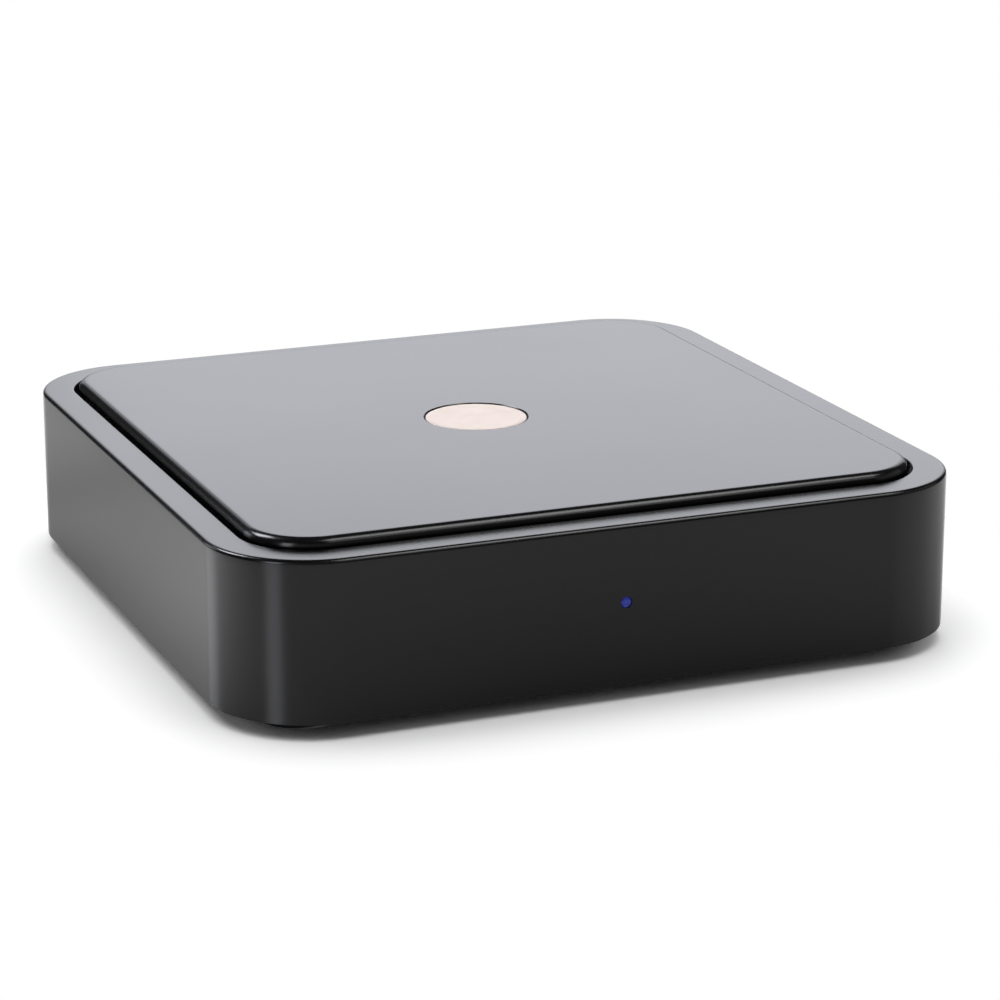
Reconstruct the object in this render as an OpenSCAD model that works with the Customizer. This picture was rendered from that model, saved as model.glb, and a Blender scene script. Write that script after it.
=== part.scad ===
// Network music streamer: a low square box with a floating top plate, a status light in front
// and its sockets behind. Front faces -Y, the sockets face +Y, and Z = 0 is the table.

/* [Body] */
// Width of the housing
body_w = 140; // [126:1:180]
// Depth of the housing
body_d = 140; // [126:1:180]
// Height of the housing from its lower edge to the rim
shell_h = 29; // [26.5:0.5:45]
// Radius of the four upright corners
corner_r = 19; // [17:0.5:21]
// Thickness of the side walls
wall = 2.4; // [2:0.1:3]
// Thickness of the side walls where they hold the base cover
seat_wall = 1.3; // [1:0.1:1.6]
// Width of the flat rim around the top plate
rim_w = 6.1; // [5:0.1:8]
// Rounding of the rim's outer edge
rim_edge_r = 0.5; // [0.3:0.1:1]
// Depth of the recess that holds the top plate
recess_depth = 2.4; // [1.5:0.1:3]
// Thickness of the deck under the top plate
deck_t = 2; // [1.5:0.1:3]

/* [Top plate] */
// Height of the top plate above the rim
plate_rise = 1.6; // [1:0.1:3]
// Shadow gap between the rim and the top plate
plate_gap = 0.95; // [0.5:0.05:2]
// Rounding of the top plate's upper edge
plate_edge_r = 1.6; // [1:0.1:2]
// Thickness of the top plate over its hollow underside
plate_skin = 2.2; // [2:0.1:2.6]
// Width of the solid border under the top plate
plate_border = 6; // [4:0.5:10]
// Thickness of the adhesive frame under the top plate
tape_t = 0.3; // [0.2:0.05:0.5]
// Diameter of the four locating pegs under the top plate
peg_d = 4; // [3:0.5:6]
// Diameter of the metal badge
badge_d = 19.2; // [12:0.2:30]
// Thickness of the badge
badge_t = 0.8; // [0.5:0.1:1]
// Gap around the badge in its pocket
badge_gap = 0.25; // [0.1:0.05:0.5]
// Depth of the badge's face below the top plate
badge_sink = 0.12; // [0.05:0.01:0.3]

/* [Base] */
// Gap between the table and the housing's lower edge
foot_h = 3; // [2:0.1:5]
// Diameter of the rubber feet
foot_d = 18; // [14:0.5:20]
// Distance of each foot's centre from the two outer walls
foot_inset = 16; // [15:0.5:19]
// Thickness of the base cover
base_t = 2.4; // [2.2:0.1:3]
// Depth of the base cover inside the housing's lower edge
base_sink = 0.3; // [0.1:0.1:0.8]
// Gap between the base cover and the walls
base_gap = 0.15; // [0.05:0.05:0.3]
// Diameter of the screw bosses
boss_d = 8; // [7:0.5:10]
// Width of a ventilation slot
vent_w = 1.8; // [1:0.1:3]
// Length of a ventilation slot
vent_l = 26; // [10:1:32]
// Distance between ventilation slots
vent_pitch = 4.4; // [4:0.1:6]
// Number of ventilation slots in a row
vent_count = 13; // [1:1:15]

/* [Circuit board] */
// Gap between the circuit board and the screw bosses at its sides
board_side_gap = 1; // [0.5:0.1:3]
// Thickness of the circuit board
board_t = 1.6; // [1.2:0.2:2]
// Height of the posts that carry the circuit board
post_h = 3; // [2:0.5:4]
// Diameter of the posts that carry the circuit board
post_d = 6.4; // [6:0.2:8]
// Gap between the circuit board and the inside of the front wall
board_front_gap = 8; // [7:0.5:20]
// Gap between the circuit board and the rear panel
board_rear_gap = 0.4; // [0.2:0.1:1]

/* [Rear panel] */
// Width of the flat wall between the rear window and the corner's curve
window_margin = 1.5; // [1:0.1:3]
// Height of the rear window
window_h = 17; // [16:0.5:18]
// Corner radius of the rear window
window_r = 2; // [1:0.5:4]
// Depth of the rear panel's face inside the rear wall
panel_sink = 1; // [0.5:0.1:1.4]
// Thickness of the rear panel's flange
flange_t = 1.6; // [1.2:0.1:2.5]
// Gap between the rear panel's flange and the corner's curve
flange_gap = 0.3; // [0.1:0.1:0.6]
// Height of the socket centres above the circuit board
socket_h = 6.7; // [6.6:0.1:7]
// Gap around each socket in the rear panel
socket_gap = 0.2; // [0.1:0.05:0.3]

/* [Sockets] */
// Outer diameter of the phono barrels
phono_d = 8.3; // [8:0.1:8.6]
// Wall of the phono barrels
phono_wall = 0.75; // [0.5:0.05:0.9]
// Length of the phono barrels
phono_l = 8; // [7:0.5:10]
// Diameter of the coloured collars
collar_d = 10.4; // [10:0.1:11]
// Distance between the two phono sockets
phono_pitch = 14; // [13:0.5:16]
// Bore of the phono centre contacts
phono_bore_d = 3.2; // [3:0.1:3.4]
// Bore of the headphone-size line input
aux_bore_d = 3.6; // [3.5:0.05:3.8]
// Depth of the line input's bore
aux_depth = 12; // [10:0.5:14]
// Bore of the power inlet
power_bore_d = 6.3; // [5.6:0.1:6.6]
// Depth of the power inlet's bore
power_depth = 9.5; // [8:0.5:12]
// Diameter of the power inlet's centre pin
power_pin_d = 2; // [1.6:0.1:2.5]
// Width of the network socket
net_w = 16; // [15.8:0.1:16.4]
// Height of the network socket
net_h = 13.4; // [13:0.1:13.8]
// Length of the network socket
net_l = 21; // [18:0.5:25]
// Side of the optical socket
opt_side = 9.8; // [9.6:0.1:10.2]
// Length of the optical socket
opt_l = 13; // [12:0.5:16]
// Width of the optical socket's opening
opt_open_w = 7.8; // [7.4:0.1:8]
// Height of the optical socket's opening
opt_open_h = 7.2; // [6.8:0.1:7.6]

/* [Controls] */
// Diameter of the set-up button
button_d = 5.9; // [5:0.1:6.5]
// Height of the set-up button outside the rear panel
button_proud = 0.8; // [0.6:0.1:1.5]
// Travel of the set-up button
button_travel = 0.5; // [0.3:0.05:0.6]
// Diameter of the reset pinhole
reset_hole_d = 1.8; // [1.2:0.1:2.2]
// Travel of the reset plunger
reset_travel = 0.3; // [0.2:0.05:0.4]
// Diameter of the status light
light_d = 2; // [1.5:0.1:3]
// Height of the status light above the housing's lower edge
light_h = 15; // [14.5:0.1:16]

/* [Hidden] */
$fn = 96;
eps = 0.01;
cut = 1;
running_gap = 0.05;
thread_gap = 0.05;
slide_gap = 0.2;

vent_split = 12;

// Heights, from the table up
base_z0 = foot_h + base_sink;
base_z1 = base_z0 + base_t;
board_z0 = base_z1 + post_h;
board_z1 = board_z0 + board_t;
socket_z = board_z1 + socket_h;
rim_z = foot_h + shell_h;
recess_z = rim_z - recess_depth;
deck_z0 = recess_z - deck_t;
plate_z0 = recess_z + tape_t;
plate_z1 = rim_z + plate_rise;
badge_z1 = plate_z1 - badge_sink;
badge_z0 = badge_z1 - badge_t;
light_z = foot_h + light_h;

// Places across the plan, with the housing's middle at zero
wall_in_y = body_d / 2 - wall;
panel_y = body_d / 2 - panel_sink;
flange_y = wall_in_y - flange_t;
board_y1 = flange_y - board_rear_gap;
board_y0 = -wall_in_y + board_front_gap;
foot_x = body_w / 2 - foot_inset;
foot_y = body_d / 2 - foot_inset;
board_w = 2 * (foot_x - boss_d / 2 - board_side_gap);
window_w = body_w - 2 * corner_r - 2 * window_margin;
flange_w = body_w - 2 * corner_r - 2 * flange_gap;
plate_inset = rim_w + plate_gap;
plate_w = body_w - 2 * plate_inset;
plate_d = body_d - 2 * plate_inset;
plate_r = corner_r - plate_inset;
peg_x = plate_w / 2 - plate_border - peg_d;
peg_y = plate_d / 2 - plate_border - peg_d;
peg_gap = 0.1;
peg_places = [[peg_x, 0], [-peg_x, 0], [0, peg_y], [0, -peg_y]];
tape_inset = 0.5;

// Phono sockets
collar_proud = 1.2;
barrel_y0 = panel_y + collar_proud;
barrel_y1 = barrel_y0 + phono_l;
core_d = phono_d - 2 * phono_wall;
core_sink = 0.6;
phono_block_l = 11;
phono_block_side = 12;
phono_block_top = 5.6;
contact_wall = 0.6;
contact_depth = 4;
contact_tail = 3;
phono_y0 = flange_y - phono_block_l;
collar_y0 = wall_in_y;

// Line input and power inlet
nose_proud = 0.7;
aux_nose_d = 6;
aux_side = 7.2;
aux_l = 15;
aux_top = 4.2;
power_nose_d = 8.6;
power_side = 9.4;
power_l = 14;
power_top = 5.4;
power_pin_sink = 0.8;
nose_y = panel_y + nose_proud;

// Network socket
net_proud = 0.5;
net_can_t = 0.4;
net_y1 = panel_y + net_proud;
net_y0 = net_y1 - net_l;
net_z0 = board_z1;
net_z1 = net_z0 + net_h;
net_in_w = net_w - 2 * net_can_t;
net_frame = 1.2;
net_plug_w = 11.9;
net_plug_h = 7;
net_plug_depth = 13;
net_latch_w = 6.2;
net_latch_h = 2.2;
net_plug_z0 = net_z0 + 4.6;
net_pin_count = 8;
net_pin_pitch = 1.02;
net_pin_w = 0.5;
net_pin_t = 0.35;
net_pin_l = 9;
net_pin_sink = 2.5;

// Optical socket and its flap
opt_proud = 0.5;
opt_y1 = panel_y + opt_proud;
opt_y0 = opt_y1 - opt_l;
opt_depth = 9.5;
flap_t = 0.9;
flap_sink = 0.5;
flap_gap = 0.2;
flap_pin_d = 0.8;
flap_pin_l = 0.6;
opt_top = socket_z + opt_open_h / 2;
flap_axis_z = opt_top - flap_gap - flap_t / 2;
flap_axis_y = opt_y1 - flap_sink - flap_t / 2;
flap_drop = opt_open_h - 2 * flap_gap - flap_t / 2;
emitter_d = 3.2;
emitter_l = 1.1;

// Set-up button and reset switch
button_flange_w = 0.6;
button_flange_d = button_d + 2 * button_flange_w;
button_flange_t = 0.8;
button_gap = 0.1;
button_stem_d = 3;
button_stem_l = 2.4;
button_y1 = panel_y + button_proud;
button_flange_y1 = flange_y - button_gap;
button_y0 = button_flange_y1 - button_flange_t - button_stem_l;
switch_side = 5;
switch_l = 5;
switch_top = 3.2;
switch_gap = 0.9;
plunger_d = 2.4;
plunger_bore = 2;
setup_switch_y1 = button_y0 - switch_gap;
reset_reach = 0.6;
reset_back = 1.9;
reset_switch_y1 = flange_y - reset_back;
reset_plunger_y1 = flange_y - reset_reach;

// Sockets along the rear panel: each one's width, then an even space between neighbours
row_margin = 0.6;
phono_block_w = phono_pitch + phono_block_side;
socket_ws = [button_flange_d, switch_side, power_side, net_w, opt_side, aux_side, phono_block_w];
function total(list, n) = n == 0 ? 0 : list[n - 1] + total(list, n - 1);
socket_count = len(socket_ws);
row_w = window_w - 2 * row_margin;
socket_space = (row_w - total(socket_ws, socket_count)) / (socket_count - 1);
function socket_x(i) = total(socket_ws, i) + i * socket_space + socket_ws[i] / 2 - row_w / 2;
setup_x = socket_x(0);
reset_x = socket_x(1);
power_x = socket_x(2);
net_x = socket_x(3);
opt_x = socket_x(4);
aux_x = socket_x(5);
phono_x = socket_x(6);
phono_right_x = phono_x - phono_pitch / 2;
phono_left_x = phono_x + phono_pitch / 2;
phono_xs = [phono_right_x, phono_left_x];

// Fasteners
screw_head_d = 5.6;
screw_head_t = 1.3;
screw_d = 2.6;
screw_l = 10;
screw_hole_d = 3.2;
counterbore_d = 6.2;
counterbore_gap = 0.1;
board_screw_head_d = 4.6;
board_screw_head_t = 1.5;
board_screw_d = 2.2;
board_screw_l = board_t + post_h - 0.4;
board_hole_d = 2.8;
post_edge = 5;
post_front = 8;
post_rear = 25;
board_post_x = board_w / 2 - post_edge;
board_post_ys = [board_y0 + post_front, board_y1 - post_rear];
screw_slot_l = 3;
screw_slot_w = 0.7;
screw_slot_depth = 0.8;
foot_edge_r = 0.8;

// Status light
pipe_flange_w = 1;
pipe_flange_d = light_d + 2 * pipe_flange_w;
pipe_flange_t = 1.2;
pipe_tail = 2.5;
pipe_gap = 0.05;
led_d = 3;
led_l = 3.6;
led_gap = 0.3;
led_lead_x = 0.8;
led_lead_w = 0.5;
led_lead_gap = 0.15;
holder_side = 5;
holder_l = 4;
holder_over = 2;
holder_back = 1.2;
pipe_y0 = -wall_in_y + pipe_flange_t + pipe_tail;
led_y0 = pipe_y0 + led_gap;
holder_y0 = led_y0 + holder_back;

// Radio module, aerials and their leads
radio_x = -18;
radio_y = 0;
radio_w = 32;
radio_d = 22;
radio_t = 0.8;
header_h = 1;
header_d = 4;
header_margin = 3;
radio_z0 = board_z1 + header_h;
can_w = 26;
can_d = 13;
can_h = 2.6;
can_y = radio_y + 3.5;
plug_d = 2.6;
plug_h = 1.3;
plug_spread = 8;
plug_inset = 2.5;
plug_xs = [radio_x - plug_spread, radio_x + plug_spread];
plug_y = radio_y - radio_d / 2 + plug_inset;
plug_z0 = radio_z0 + radio_t;
aerial_l = 40;
aerial_h = 9;
aerial_t = 0.3;
aerial_corner_gap = 1;
aerial_y = corner_r + aerial_corner_gap + aerial_l / 2 - body_d / 2;
aerial_z = socket_z;
aerial_x = body_w / 2 - wall - aerial_t;
lead_d = 1.2;
lead_sides = 8;
lead_end_y = plug_y - plug_d / 2;
lead_z = plug_z0 + plug_h / 2;
lead_dip = (aerial_z - lead_z) / 4;
lead_left = [
  [-aerial_x, aerial_y, aerial_z], [-aerial_x + 3, aerial_y, aerial_z],
  [-aerial_x + 9, aerial_y + 1, aerial_z - lead_dip],
  [-aerial_x + 20, aerial_y + 3, aerial_z - 2 * lead_dip],
  [plug_xs[0] - 6, aerial_y + 6, aerial_z - 3 * lead_dip], [plug_xs[0] - 1, lead_end_y - 9, lead_z],
  [plug_xs[0], lead_end_y - 4, lead_z], [plug_xs[0], lead_end_y, lead_z]
];
lead_right = [
  [aerial_x, aerial_y, aerial_z], [aerial_x - 3, aerial_y, aerial_z],
  [aerial_x - 10, aerial_y + 1, aerial_z - lead_dip / 2],
  [aerial_x - 25, aerial_y + 4, aerial_z - lead_dip],
  [plug_xs[1] + 26, aerial_y + 6, aerial_z - 2 * lead_dip],
  [plug_xs[1] + 9, aerial_y + 8, aerial_z - 3 * lead_dip],
  [plug_xs[1] + 1, lead_end_y - 9, lead_z], [plug_xs[1], lead_end_y - 4, lead_z],
  [plug_xs[1], lead_end_y, lead_z]
];

// Chips and power parts on the circuit board: width, depth, height and distance from their neighbour
transformer = [12, 13, 5.5];
transformer_gap = 5;
converter = [9, 9, 1.4];
converter_gap = 15;
memory = [10, 14, 1.2];
memory_x = 22;
memory_gap = 22;
crystal_size = [5, 3.2, 1.2];
crystal_x = 4;
crystal_gap = 30;
inductor = [8, 8, 4.2];
inductor_gap = 8;
regulator = [6.5, 6, 1.8];
regulator_gap = 18;
audio_cap_d = 6.3;
audio_cap_h = 7;
audio_cap_gap = 8;
power_cap_d = 8;
power_cap_h = 10;
power_cap_gap = 30;
power_cap_space = 1;

// The row's origin lies under the middle of the whole part, sockets included
origin_y = (barrel_y1 - body_d / 2) / 2;

// Shared shapes

// A flat rounded rectangle
module rounded_rect(w, d, r) {
  square([w - 2 * r, d], center = true);
  square([w, d - 2 * r], center = true);
  for (x = [-1, 1], y = [-1, 1]) translate([x * (w / 2 - r), y * (d / 2 - r)]) circle(r);
}

// An upright prism on a rounded rectangle, from z0 to z1
module rounded_prism(w, d, r, z0, z1) {
  translate([0, 0, z0]) linear_extrude(z1 - z0) rounded_rect(w, d, r);
}

// An upright prism that follows the housing's outline, moved in by an inset
module inset_prism(inset, z0, z1) {
  rounded_prism(body_w - 2 * inset, body_d - 2 * inset, corner_r - inset, z0, z1);
}

// Half section of a slab whose upper edge is rounded
module slab_section(r, t, edge) {
  square([r - edge, t]);
  square([r, t - edge]);
  translate([r - edge, t - edge]) circle(edge);
}

// A rounded slab whose whole upper edge is rounded
module rounded_slab(w, d, r, z0, z1, edge) {
  t = z1 - z0;
  translate([0, 0, z0]) {
    for (quarter = [0 : 3]) rotate(quarter * 90) {
      across = quarter % 2 == 0 ? w : d;
      along = quarter % 2 == 0 ? d : w;
      translate([across / 2 - r, along / 2 - r, 0]) {
        rotate_extrude(angle = 90) slab_section(r, t, edge);
        rotate([90, 0, 0]) linear_extrude(along - 2 * r) slab_section(r, t, edge);
      }
    }
    translate([r - w / 2, r - d / 2, 0]) cube([w - 2 * r, d - 2 * r, t]);
  }
}

// A round bar along Y, from y0 to y1
module bar_y(x, z, d, y0, y1) {
  translate([x, y0, z]) rotate([-90, 0, 0]) cylinder(d = d, h = y1 - y0);
}

// A block centred on x, from y0 to y1 and from z0 to z1
module block(x, w, y0, y1, z0, z1) {
  translate([x - w / 2, y0, z0]) cube([w, y1 - y0, z1 - z0]);
}

// The four places of the feet, bosses and cover screws
module at_feet() {
  for (x = [-foot_x, foot_x], y = [-foot_y, foot_y]) translate([x, y, 0]) children();
}

// The four places of the board's posts and screws
module at_posts() {
  for (x = [-board_post_x, board_post_x], y = board_post_ys) translate([x, y, 0]) children();
}

// The four places of the top plate's pegs
module at_pegs() {
  for (p = peg_places) translate([p[0], p[1], 0]) children();
}

// Every socket's outline, grown by a gap, as one flat cutter that stands in the XZ plane
module socket_outlines(gap) {
  for (x = phono_xs) translate([x, socket_z]) circle(d = collar_d + 2 * gap);
  translate([aux_x, socket_z]) circle(d = aux_nose_d + 2 * gap);
  translate([power_x, socket_z]) circle(d = power_nose_d + 2 * gap);
  translate([setup_x, socket_z]) circle(d = button_d + 2 * gap);
  translate([reset_x, socket_z]) circle(d = reset_hole_d);
  translate([net_x, net_z0 + net_h / 2]) square([net_w + 2 * gap, net_h + 2 * gap], center = true);
  translate([opt_x, socket_z]) square([opt_side + 2 * gap, opt_side + 2 * gap], center = true);
}

// A flat XZ outline extruded along Y, from y0 to y1
module extrude_y(y0, y1) {
  translate([0, y1, 0]) rotate([90, 0, 0]) linear_extrude(y1 - y0) children();
}

// Directions along a route and a round tube swept along it
function unit(v) = v / norm(v);
function heading(p, i) =
  i == 0 ? unit(p[1] - p[0]) :
  i == len(p) - 1 ? unit(p[i] - p[i - 1]) :
  unit(unit(p[i + 1] - p[i]) + unit(p[i] - p[i - 1]));
function side_of(h) = unit(cross(h, abs(h[2]) > 0.9 ? [1, 0, 0] : [0, 0, 1]));
function tube_ring(c, h, r, n) = [
  for (k = [0 : n - 1]) c + r * (cos(360 * k / n) * side_of(h) + sin(360 * k / n) * cross(side_of(h), h))
];
function end_fan(first, n, flip) = [
  for (k = [1 : n - 2]) flip ? [first, first + k, first + k + 1] : [first, first + k + 1, first + k]
];
function tube_sides(rings, n) = [
  for (i = [0 : rings - 2], k = [0 : n - 1], half = [0, 1])
    let (a = i * n + k, b = i * n + (k + 1) % n)
    half == 0 ? [a, a + n, b] : [b, a + n, b + n]
];
module tube(p, d, n) {
  points = [for (i = [0 : len(p) - 1]) each tube_ring(p[i], heading(p, i), d / 2, n)];
  faces = concat(end_fan(0, n, true), tube_sides(len(p), n), end_fan((len(p) - 1) * n, n, false));
  polyhedron(points = points, faces = faces, convexity = 8);
}

// Housing

module outer_shell() {
  color("#1c1c1e") {
    difference() {
      rounded_slab(body_w, body_d, corner_r, foot_h, rim_z, rim_edge_r);
      inset_prism(rim_w, recess_z, rim_z + cut);
      inset_prism(wall, foot_h - cut, deck_z0);
      inset_prism(seat_wall, foot_h - cut, base_z1);
      translate([0, 0, socket_z]) extrude_y(wall_in_y - cut, body_d / 2 + cut)
        rounded_rect(window_w, window_h, window_r);
      bar_y(0, light_z, light_d + 2 * pipe_gap, -body_d / 2 - cut, -wall_in_y + cut);
      at_pegs() translate([0, 0, deck_z0 - cut]) cylinder(d = peg_d + 2 * peg_gap, h = deck_t + 2 * cut);
    }
    at_feet() difference() {
      translate([0, 0, base_z1]) cylinder(d = boss_d, h = deck_z0 - base_z1 + eps);
      translate([0, 0, base_z1 - cut]) cylinder(d = screw_d + 2 * thread_gap, h = screw_l + cut);
    }
  }
}

module base_cover() {
  color("#161617") difference() {
    union() {
      inset_prism(seat_wall + base_gap, base_z0, base_z1);
      at_posts() translate([0, 0, base_z1 - eps]) cylinder(d = post_d, h = post_h + eps);
    }
    at_posts() translate([0, 0, base_z1]) cylinder(d = board_screw_d + 2 * thread_gap, h = post_h + cut);
    at_feet() {
      translate([0, 0, base_z0 - cut]) cylinder(d = screw_hole_d, h = base_t + 2 * cut);
      translate([0, 0, base_z0 - cut]) cylinder(d = counterbore_d, h = screw_head_t + counterbore_gap + cut);
    }
    for (row = [-1, 1], k = [0 : vent_count - 1])
      translate([(k - (vent_count - 1) / 2) * vent_pitch, row * (vent_l + vent_split) / 2, base_z0 - cut])
        linear_extrude(base_t + 2 * cut) rounded_rect(vent_w, vent_l, vent_w / 2 - eps);
  }
}

module rubber_feet() {
  color("#0d0d0d") at_feet() rotate_extrude() {
    square([foot_d / 2 - foot_edge_r, base_z0]);
    translate([0, foot_edge_r]) square([foot_d / 2, base_z0 - foot_edge_r]);
    translate([foot_d / 2 - foot_edge_r, foot_edge_r]) circle(foot_edge_r);
  }
}

module cover_screws() {
  color("#8d8f92") at_feet() {
    difference() {
      translate([0, 0, base_z0 + counterbore_gap]) cylinder(d = screw_head_d, h = screw_head_t);
      translate([0, 0, base_z0 + counterbore_gap - cut]) linear_extrude(cut + screw_slot_depth) {
        square([screw_slot_l, screw_slot_w], center = true);
        square([screw_slot_w, screw_slot_l], center = true);
      }
    }
    translate([0, 0, base_z0 + counterbore_gap + screw_head_t - eps]) cylinder(d = screw_d, h = screw_l);
  }
}

// Top plate

module top_plate() {
  color("#232326") difference() {
    union() {
      rounded_slab(plate_w, plate_d, plate_r, plate_z0, plate_z1, plate_edge_r);
      at_pegs() translate([0, 0, deck_z0]) cylinder(d = peg_d, h = plate_z1 - plate_skin - deck_z0);
    }
    difference() {
      inset_prism(plate_inset + plate_border, plate_z0 - cut, plate_z1 - plate_skin);
      at_pegs() translate([0, 0, deck_z0 - cut]) cylinder(d = peg_d, h = plate_z1 - deck_z0);
    }
    translate([0, 0, badge_z0]) cylinder(d = badge_d + 2 * badge_gap, h = plate_z1 - badge_z0 + cut);
  }
}

module top_plate_tape() {
  color("#2b2b2b") difference() {
    inset_prism(plate_inset + tape_inset, recess_z, plate_z0);
    inset_prism(plate_inset + plate_border - tape_inset, recess_z - cut, plate_z0 + cut);
  }
}

module badge() {
  color("#d9b3a6") translate([0, 0, badge_z0]) cylinder(d = badge_d, h = badge_t);
}

// Rear panel and sockets

module rear_panel() {
  color("#141415") difference() {
    union() {
      block(0, flange_w, flange_y, wall_in_y, base_z1, deck_z0);
      translate([0, 0, socket_z]) extrude_y(wall_in_y - eps, panel_y)
        rounded_rect(window_w - 2 * base_gap, window_h - 2 * base_gap, window_r - base_gap);
    }
    extrude_y(flange_y - cut, panel_y + cut) socket_outlines(socket_gap);
  }
}

module phono_insulator(x) {
  difference() {
    union() {
      bar_y(x, socket_z, collar_d, collar_y0, barrel_y0);
      bar_y(x, socket_z, core_d, phono_y0, barrel_y1 - core_sink);
    }
    bar_y(x, socket_z, phono_bore_d, phono_y0 - cut, barrel_y1 + cut);
    bar_y(x, socket_z, phono_bore_d + 2 * contact_wall, phono_y0 - cut, barrel_y1 - contact_depth);
  }
}

module phono_left_insulator() {
  color("#e6e6e2") phono_insulator(phono_left_x);
}

module phono_right_insulator() {
  color("#b3181c") phono_insulator(phono_right_x);
}

module phono_barrels() {
  color("#c9c9c4") for (x = phono_xs) difference() {
    bar_y(x, socket_z, phono_d, barrel_y0, barrel_y1);
    bar_y(x, socket_z, core_d, barrel_y0 - cut, barrel_y1 + cut);
  }
}

module phono_centre_contacts() {
  color("#c9a24b") for (x = phono_xs) difference() {
    bar_y(x, socket_z, phono_bore_d + 2 * contact_wall, phono_y0 - contact_tail, barrel_y1 - contact_depth);
    bar_y(x, socket_z, phono_bore_d, phono_y0, barrel_y1);
  }
}

module phono_jack_block() {
  color("#1a1a1a") difference() {
    block(phono_x, phono_block_w, phono_y0, flange_y, board_z1, socket_z + phono_block_top);
    for (x = phono_xs) bar_y(x, socket_z, core_d, phono_y0 - cut, flange_y + cut);
  }
}

module aux_jack_body() {
  color("#1f1f20") difference() {
    union() {
      block(aux_x, aux_side, flange_y - aux_l, flange_y, board_z1, socket_z + aux_top);
      bar_y(aux_x, socket_z, aux_nose_d, flange_y - eps, nose_y);
    }
    bar_y(aux_x, socket_z, aux_bore_d, nose_y - aux_depth, nose_y + cut);
  }
}

module power_jack_body() {
  color("#1f1f20") difference() {
    union() {
      block(power_x, power_side, flange_y - power_l, flange_y, board_z1, socket_z + power_top);
      bar_y(power_x, socket_z, power_nose_d, flange_y - eps, nose_y);
    }
    bar_y(power_x, socket_z, power_bore_d, nose_y - power_depth, nose_y + cut);
  }
}

module power_centre_pin() {
  color("#c8c8c8") bar_y(power_x, socket_z, power_pin_d, nose_y - power_depth, nose_y - power_pin_sink);
}

module ethernet_jack_can() {
  color("#b9bcc0") difference() {
    block(net_x, net_w, net_y0, net_y1, net_z0, net_z1);
    block(net_x, net_in_w, net_y0 - cut, net_y1 - net_can_t, net_z0 - cut, net_z1 - net_can_t);
    block(net_x, net_w - 2 * net_frame, net_y0, net_y1 + cut, net_z0 + net_frame, net_z1 - net_frame);
  }
}

module ethernet_jack_insert() {
  latch_z0 = net_plug_z0 - net_latch_h;
  color("#202022") difference() {
    block(net_x, net_in_w, net_y0, net_y1 - net_can_t, net_z0, net_z1 - net_can_t);
    block(net_x, net_plug_w, net_y1 - net_plug_depth, net_y1 + cut, net_plug_z0, net_plug_z0 + net_plug_h);
    block(net_x, net_latch_w, net_y1 - net_plug_depth, net_y1 + cut, latch_z0, net_plug_z0 + cut);
  }
}

module ethernet_contacts() {
  color("#d1a94a") for (k = [0 : net_pin_count - 1])
    block(
      net_x + (k - (net_pin_count - 1) / 2) * net_pin_pitch, net_pin_w,
      net_y1 - net_pin_sink - net_pin_l, net_y1 - net_pin_sink,
      net_plug_z0 + net_plug_h - net_pin_t, net_plug_z0 + net_plug_h
    );
}

// A round bar along X, centred on the flap's hinge
module flap_bar(d, w) {
  translate([opt_x - w / 2, flap_axis_y, flap_axis_z]) rotate([0, 90, 0]) cylinder(d = d, h = w);
}

module optical_jack_body() {
  color("#1b1b1c") difference() {
    union() {
      block(opt_x, opt_side, opt_y0, opt_y1, socket_z - opt_side / 2, socket_z + opt_side / 2);
      block(opt_x, opt_side, opt_y0, flange_y, board_z1, socket_z);
    }
    block(opt_x, opt_open_w, opt_y1 - opt_depth, opt_y1 + cut, opt_top - opt_open_h, opt_top);
    flap_bar(flap_pin_d + 2 * running_gap, opt_open_w + 2 * flap_pin_l + 2 * running_gap);
  }
}

module optical_flap() {
  flap_w = opt_open_w - 2 * flap_gap;
  flap_y0 = flap_axis_y - flap_t / 2;
  color("#262628") {
    block(opt_x, flap_w, flap_y0, flap_y0 + flap_t, flap_axis_z - flap_drop, flap_axis_z);
    flap_bar(flap_t, flap_w);
    flap_bar(flap_pin_d, opt_open_w + 2 * flap_pin_l);
  }
}

module optical_emitter() {
  color("#b33030") bar_y(opt_x, socket_z, emitter_d, opt_y1 - opt_depth, opt_y1 - opt_depth + emitter_l);
}

// Controls

module setup_button() {
  color("#2a2a2c") {
    bar_y(setup_x, socket_z, button_d, button_flange_y1 - button_flange_t, button_y1);
    bar_y(setup_x, socket_z, button_flange_d, button_flange_y1 - button_flange_t, button_flange_y1);
    bar_y(setup_x, socket_z, button_stem_d, button_y0, button_flange_y1);
  }
}

module setup_plunger() {
  color("#d8d8d4") bar_y(setup_x, socket_z, plunger_d, setup_switch_y1 - plunger_bore, button_y0);
}

module switch_body(x, face_y, travel) {
  difference() {
    block(x, switch_side, face_y - switch_l, face_y, board_z1, socket_z + switch_top);
    bar_y(x, socket_z, plunger_d + 2 * running_gap, face_y - plunger_bore - travel - slide_gap, face_y + cut);
  }
}

module setup_switch() {
  color("#2c2c2c") switch_body(setup_x, setup_switch_y1, button_travel);
}

module reset_plunger() {
  color("#d8d8d4") bar_y(reset_x, socket_z, plunger_d, reset_switch_y1 - plunger_bore, reset_plunger_y1);
}

module reset_switch() {
  color("#2c2c2c") switch_body(reset_x, reset_switch_y1, reset_travel);
}

// Status light

module light_pipe() {
  color("#3a4ad0") {
    bar_y(0, light_z, light_d, -body_d / 2, pipe_y0);
    bar_y(0, light_z, pipe_flange_d, -wall_in_y, -wall_in_y + pipe_flange_t);
  }
}

module status_led() {
  color("#dfe6ff") {
    bar_y(0, light_z, led_d, led_y0, led_y0 + led_l);
    for (x = [-led_lead_x, led_lead_x])
      block(x, led_lead_w, led_y0 + led_l - led_lead_w, led_y0 + led_l, board_z1, light_z);
  }
}

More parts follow.
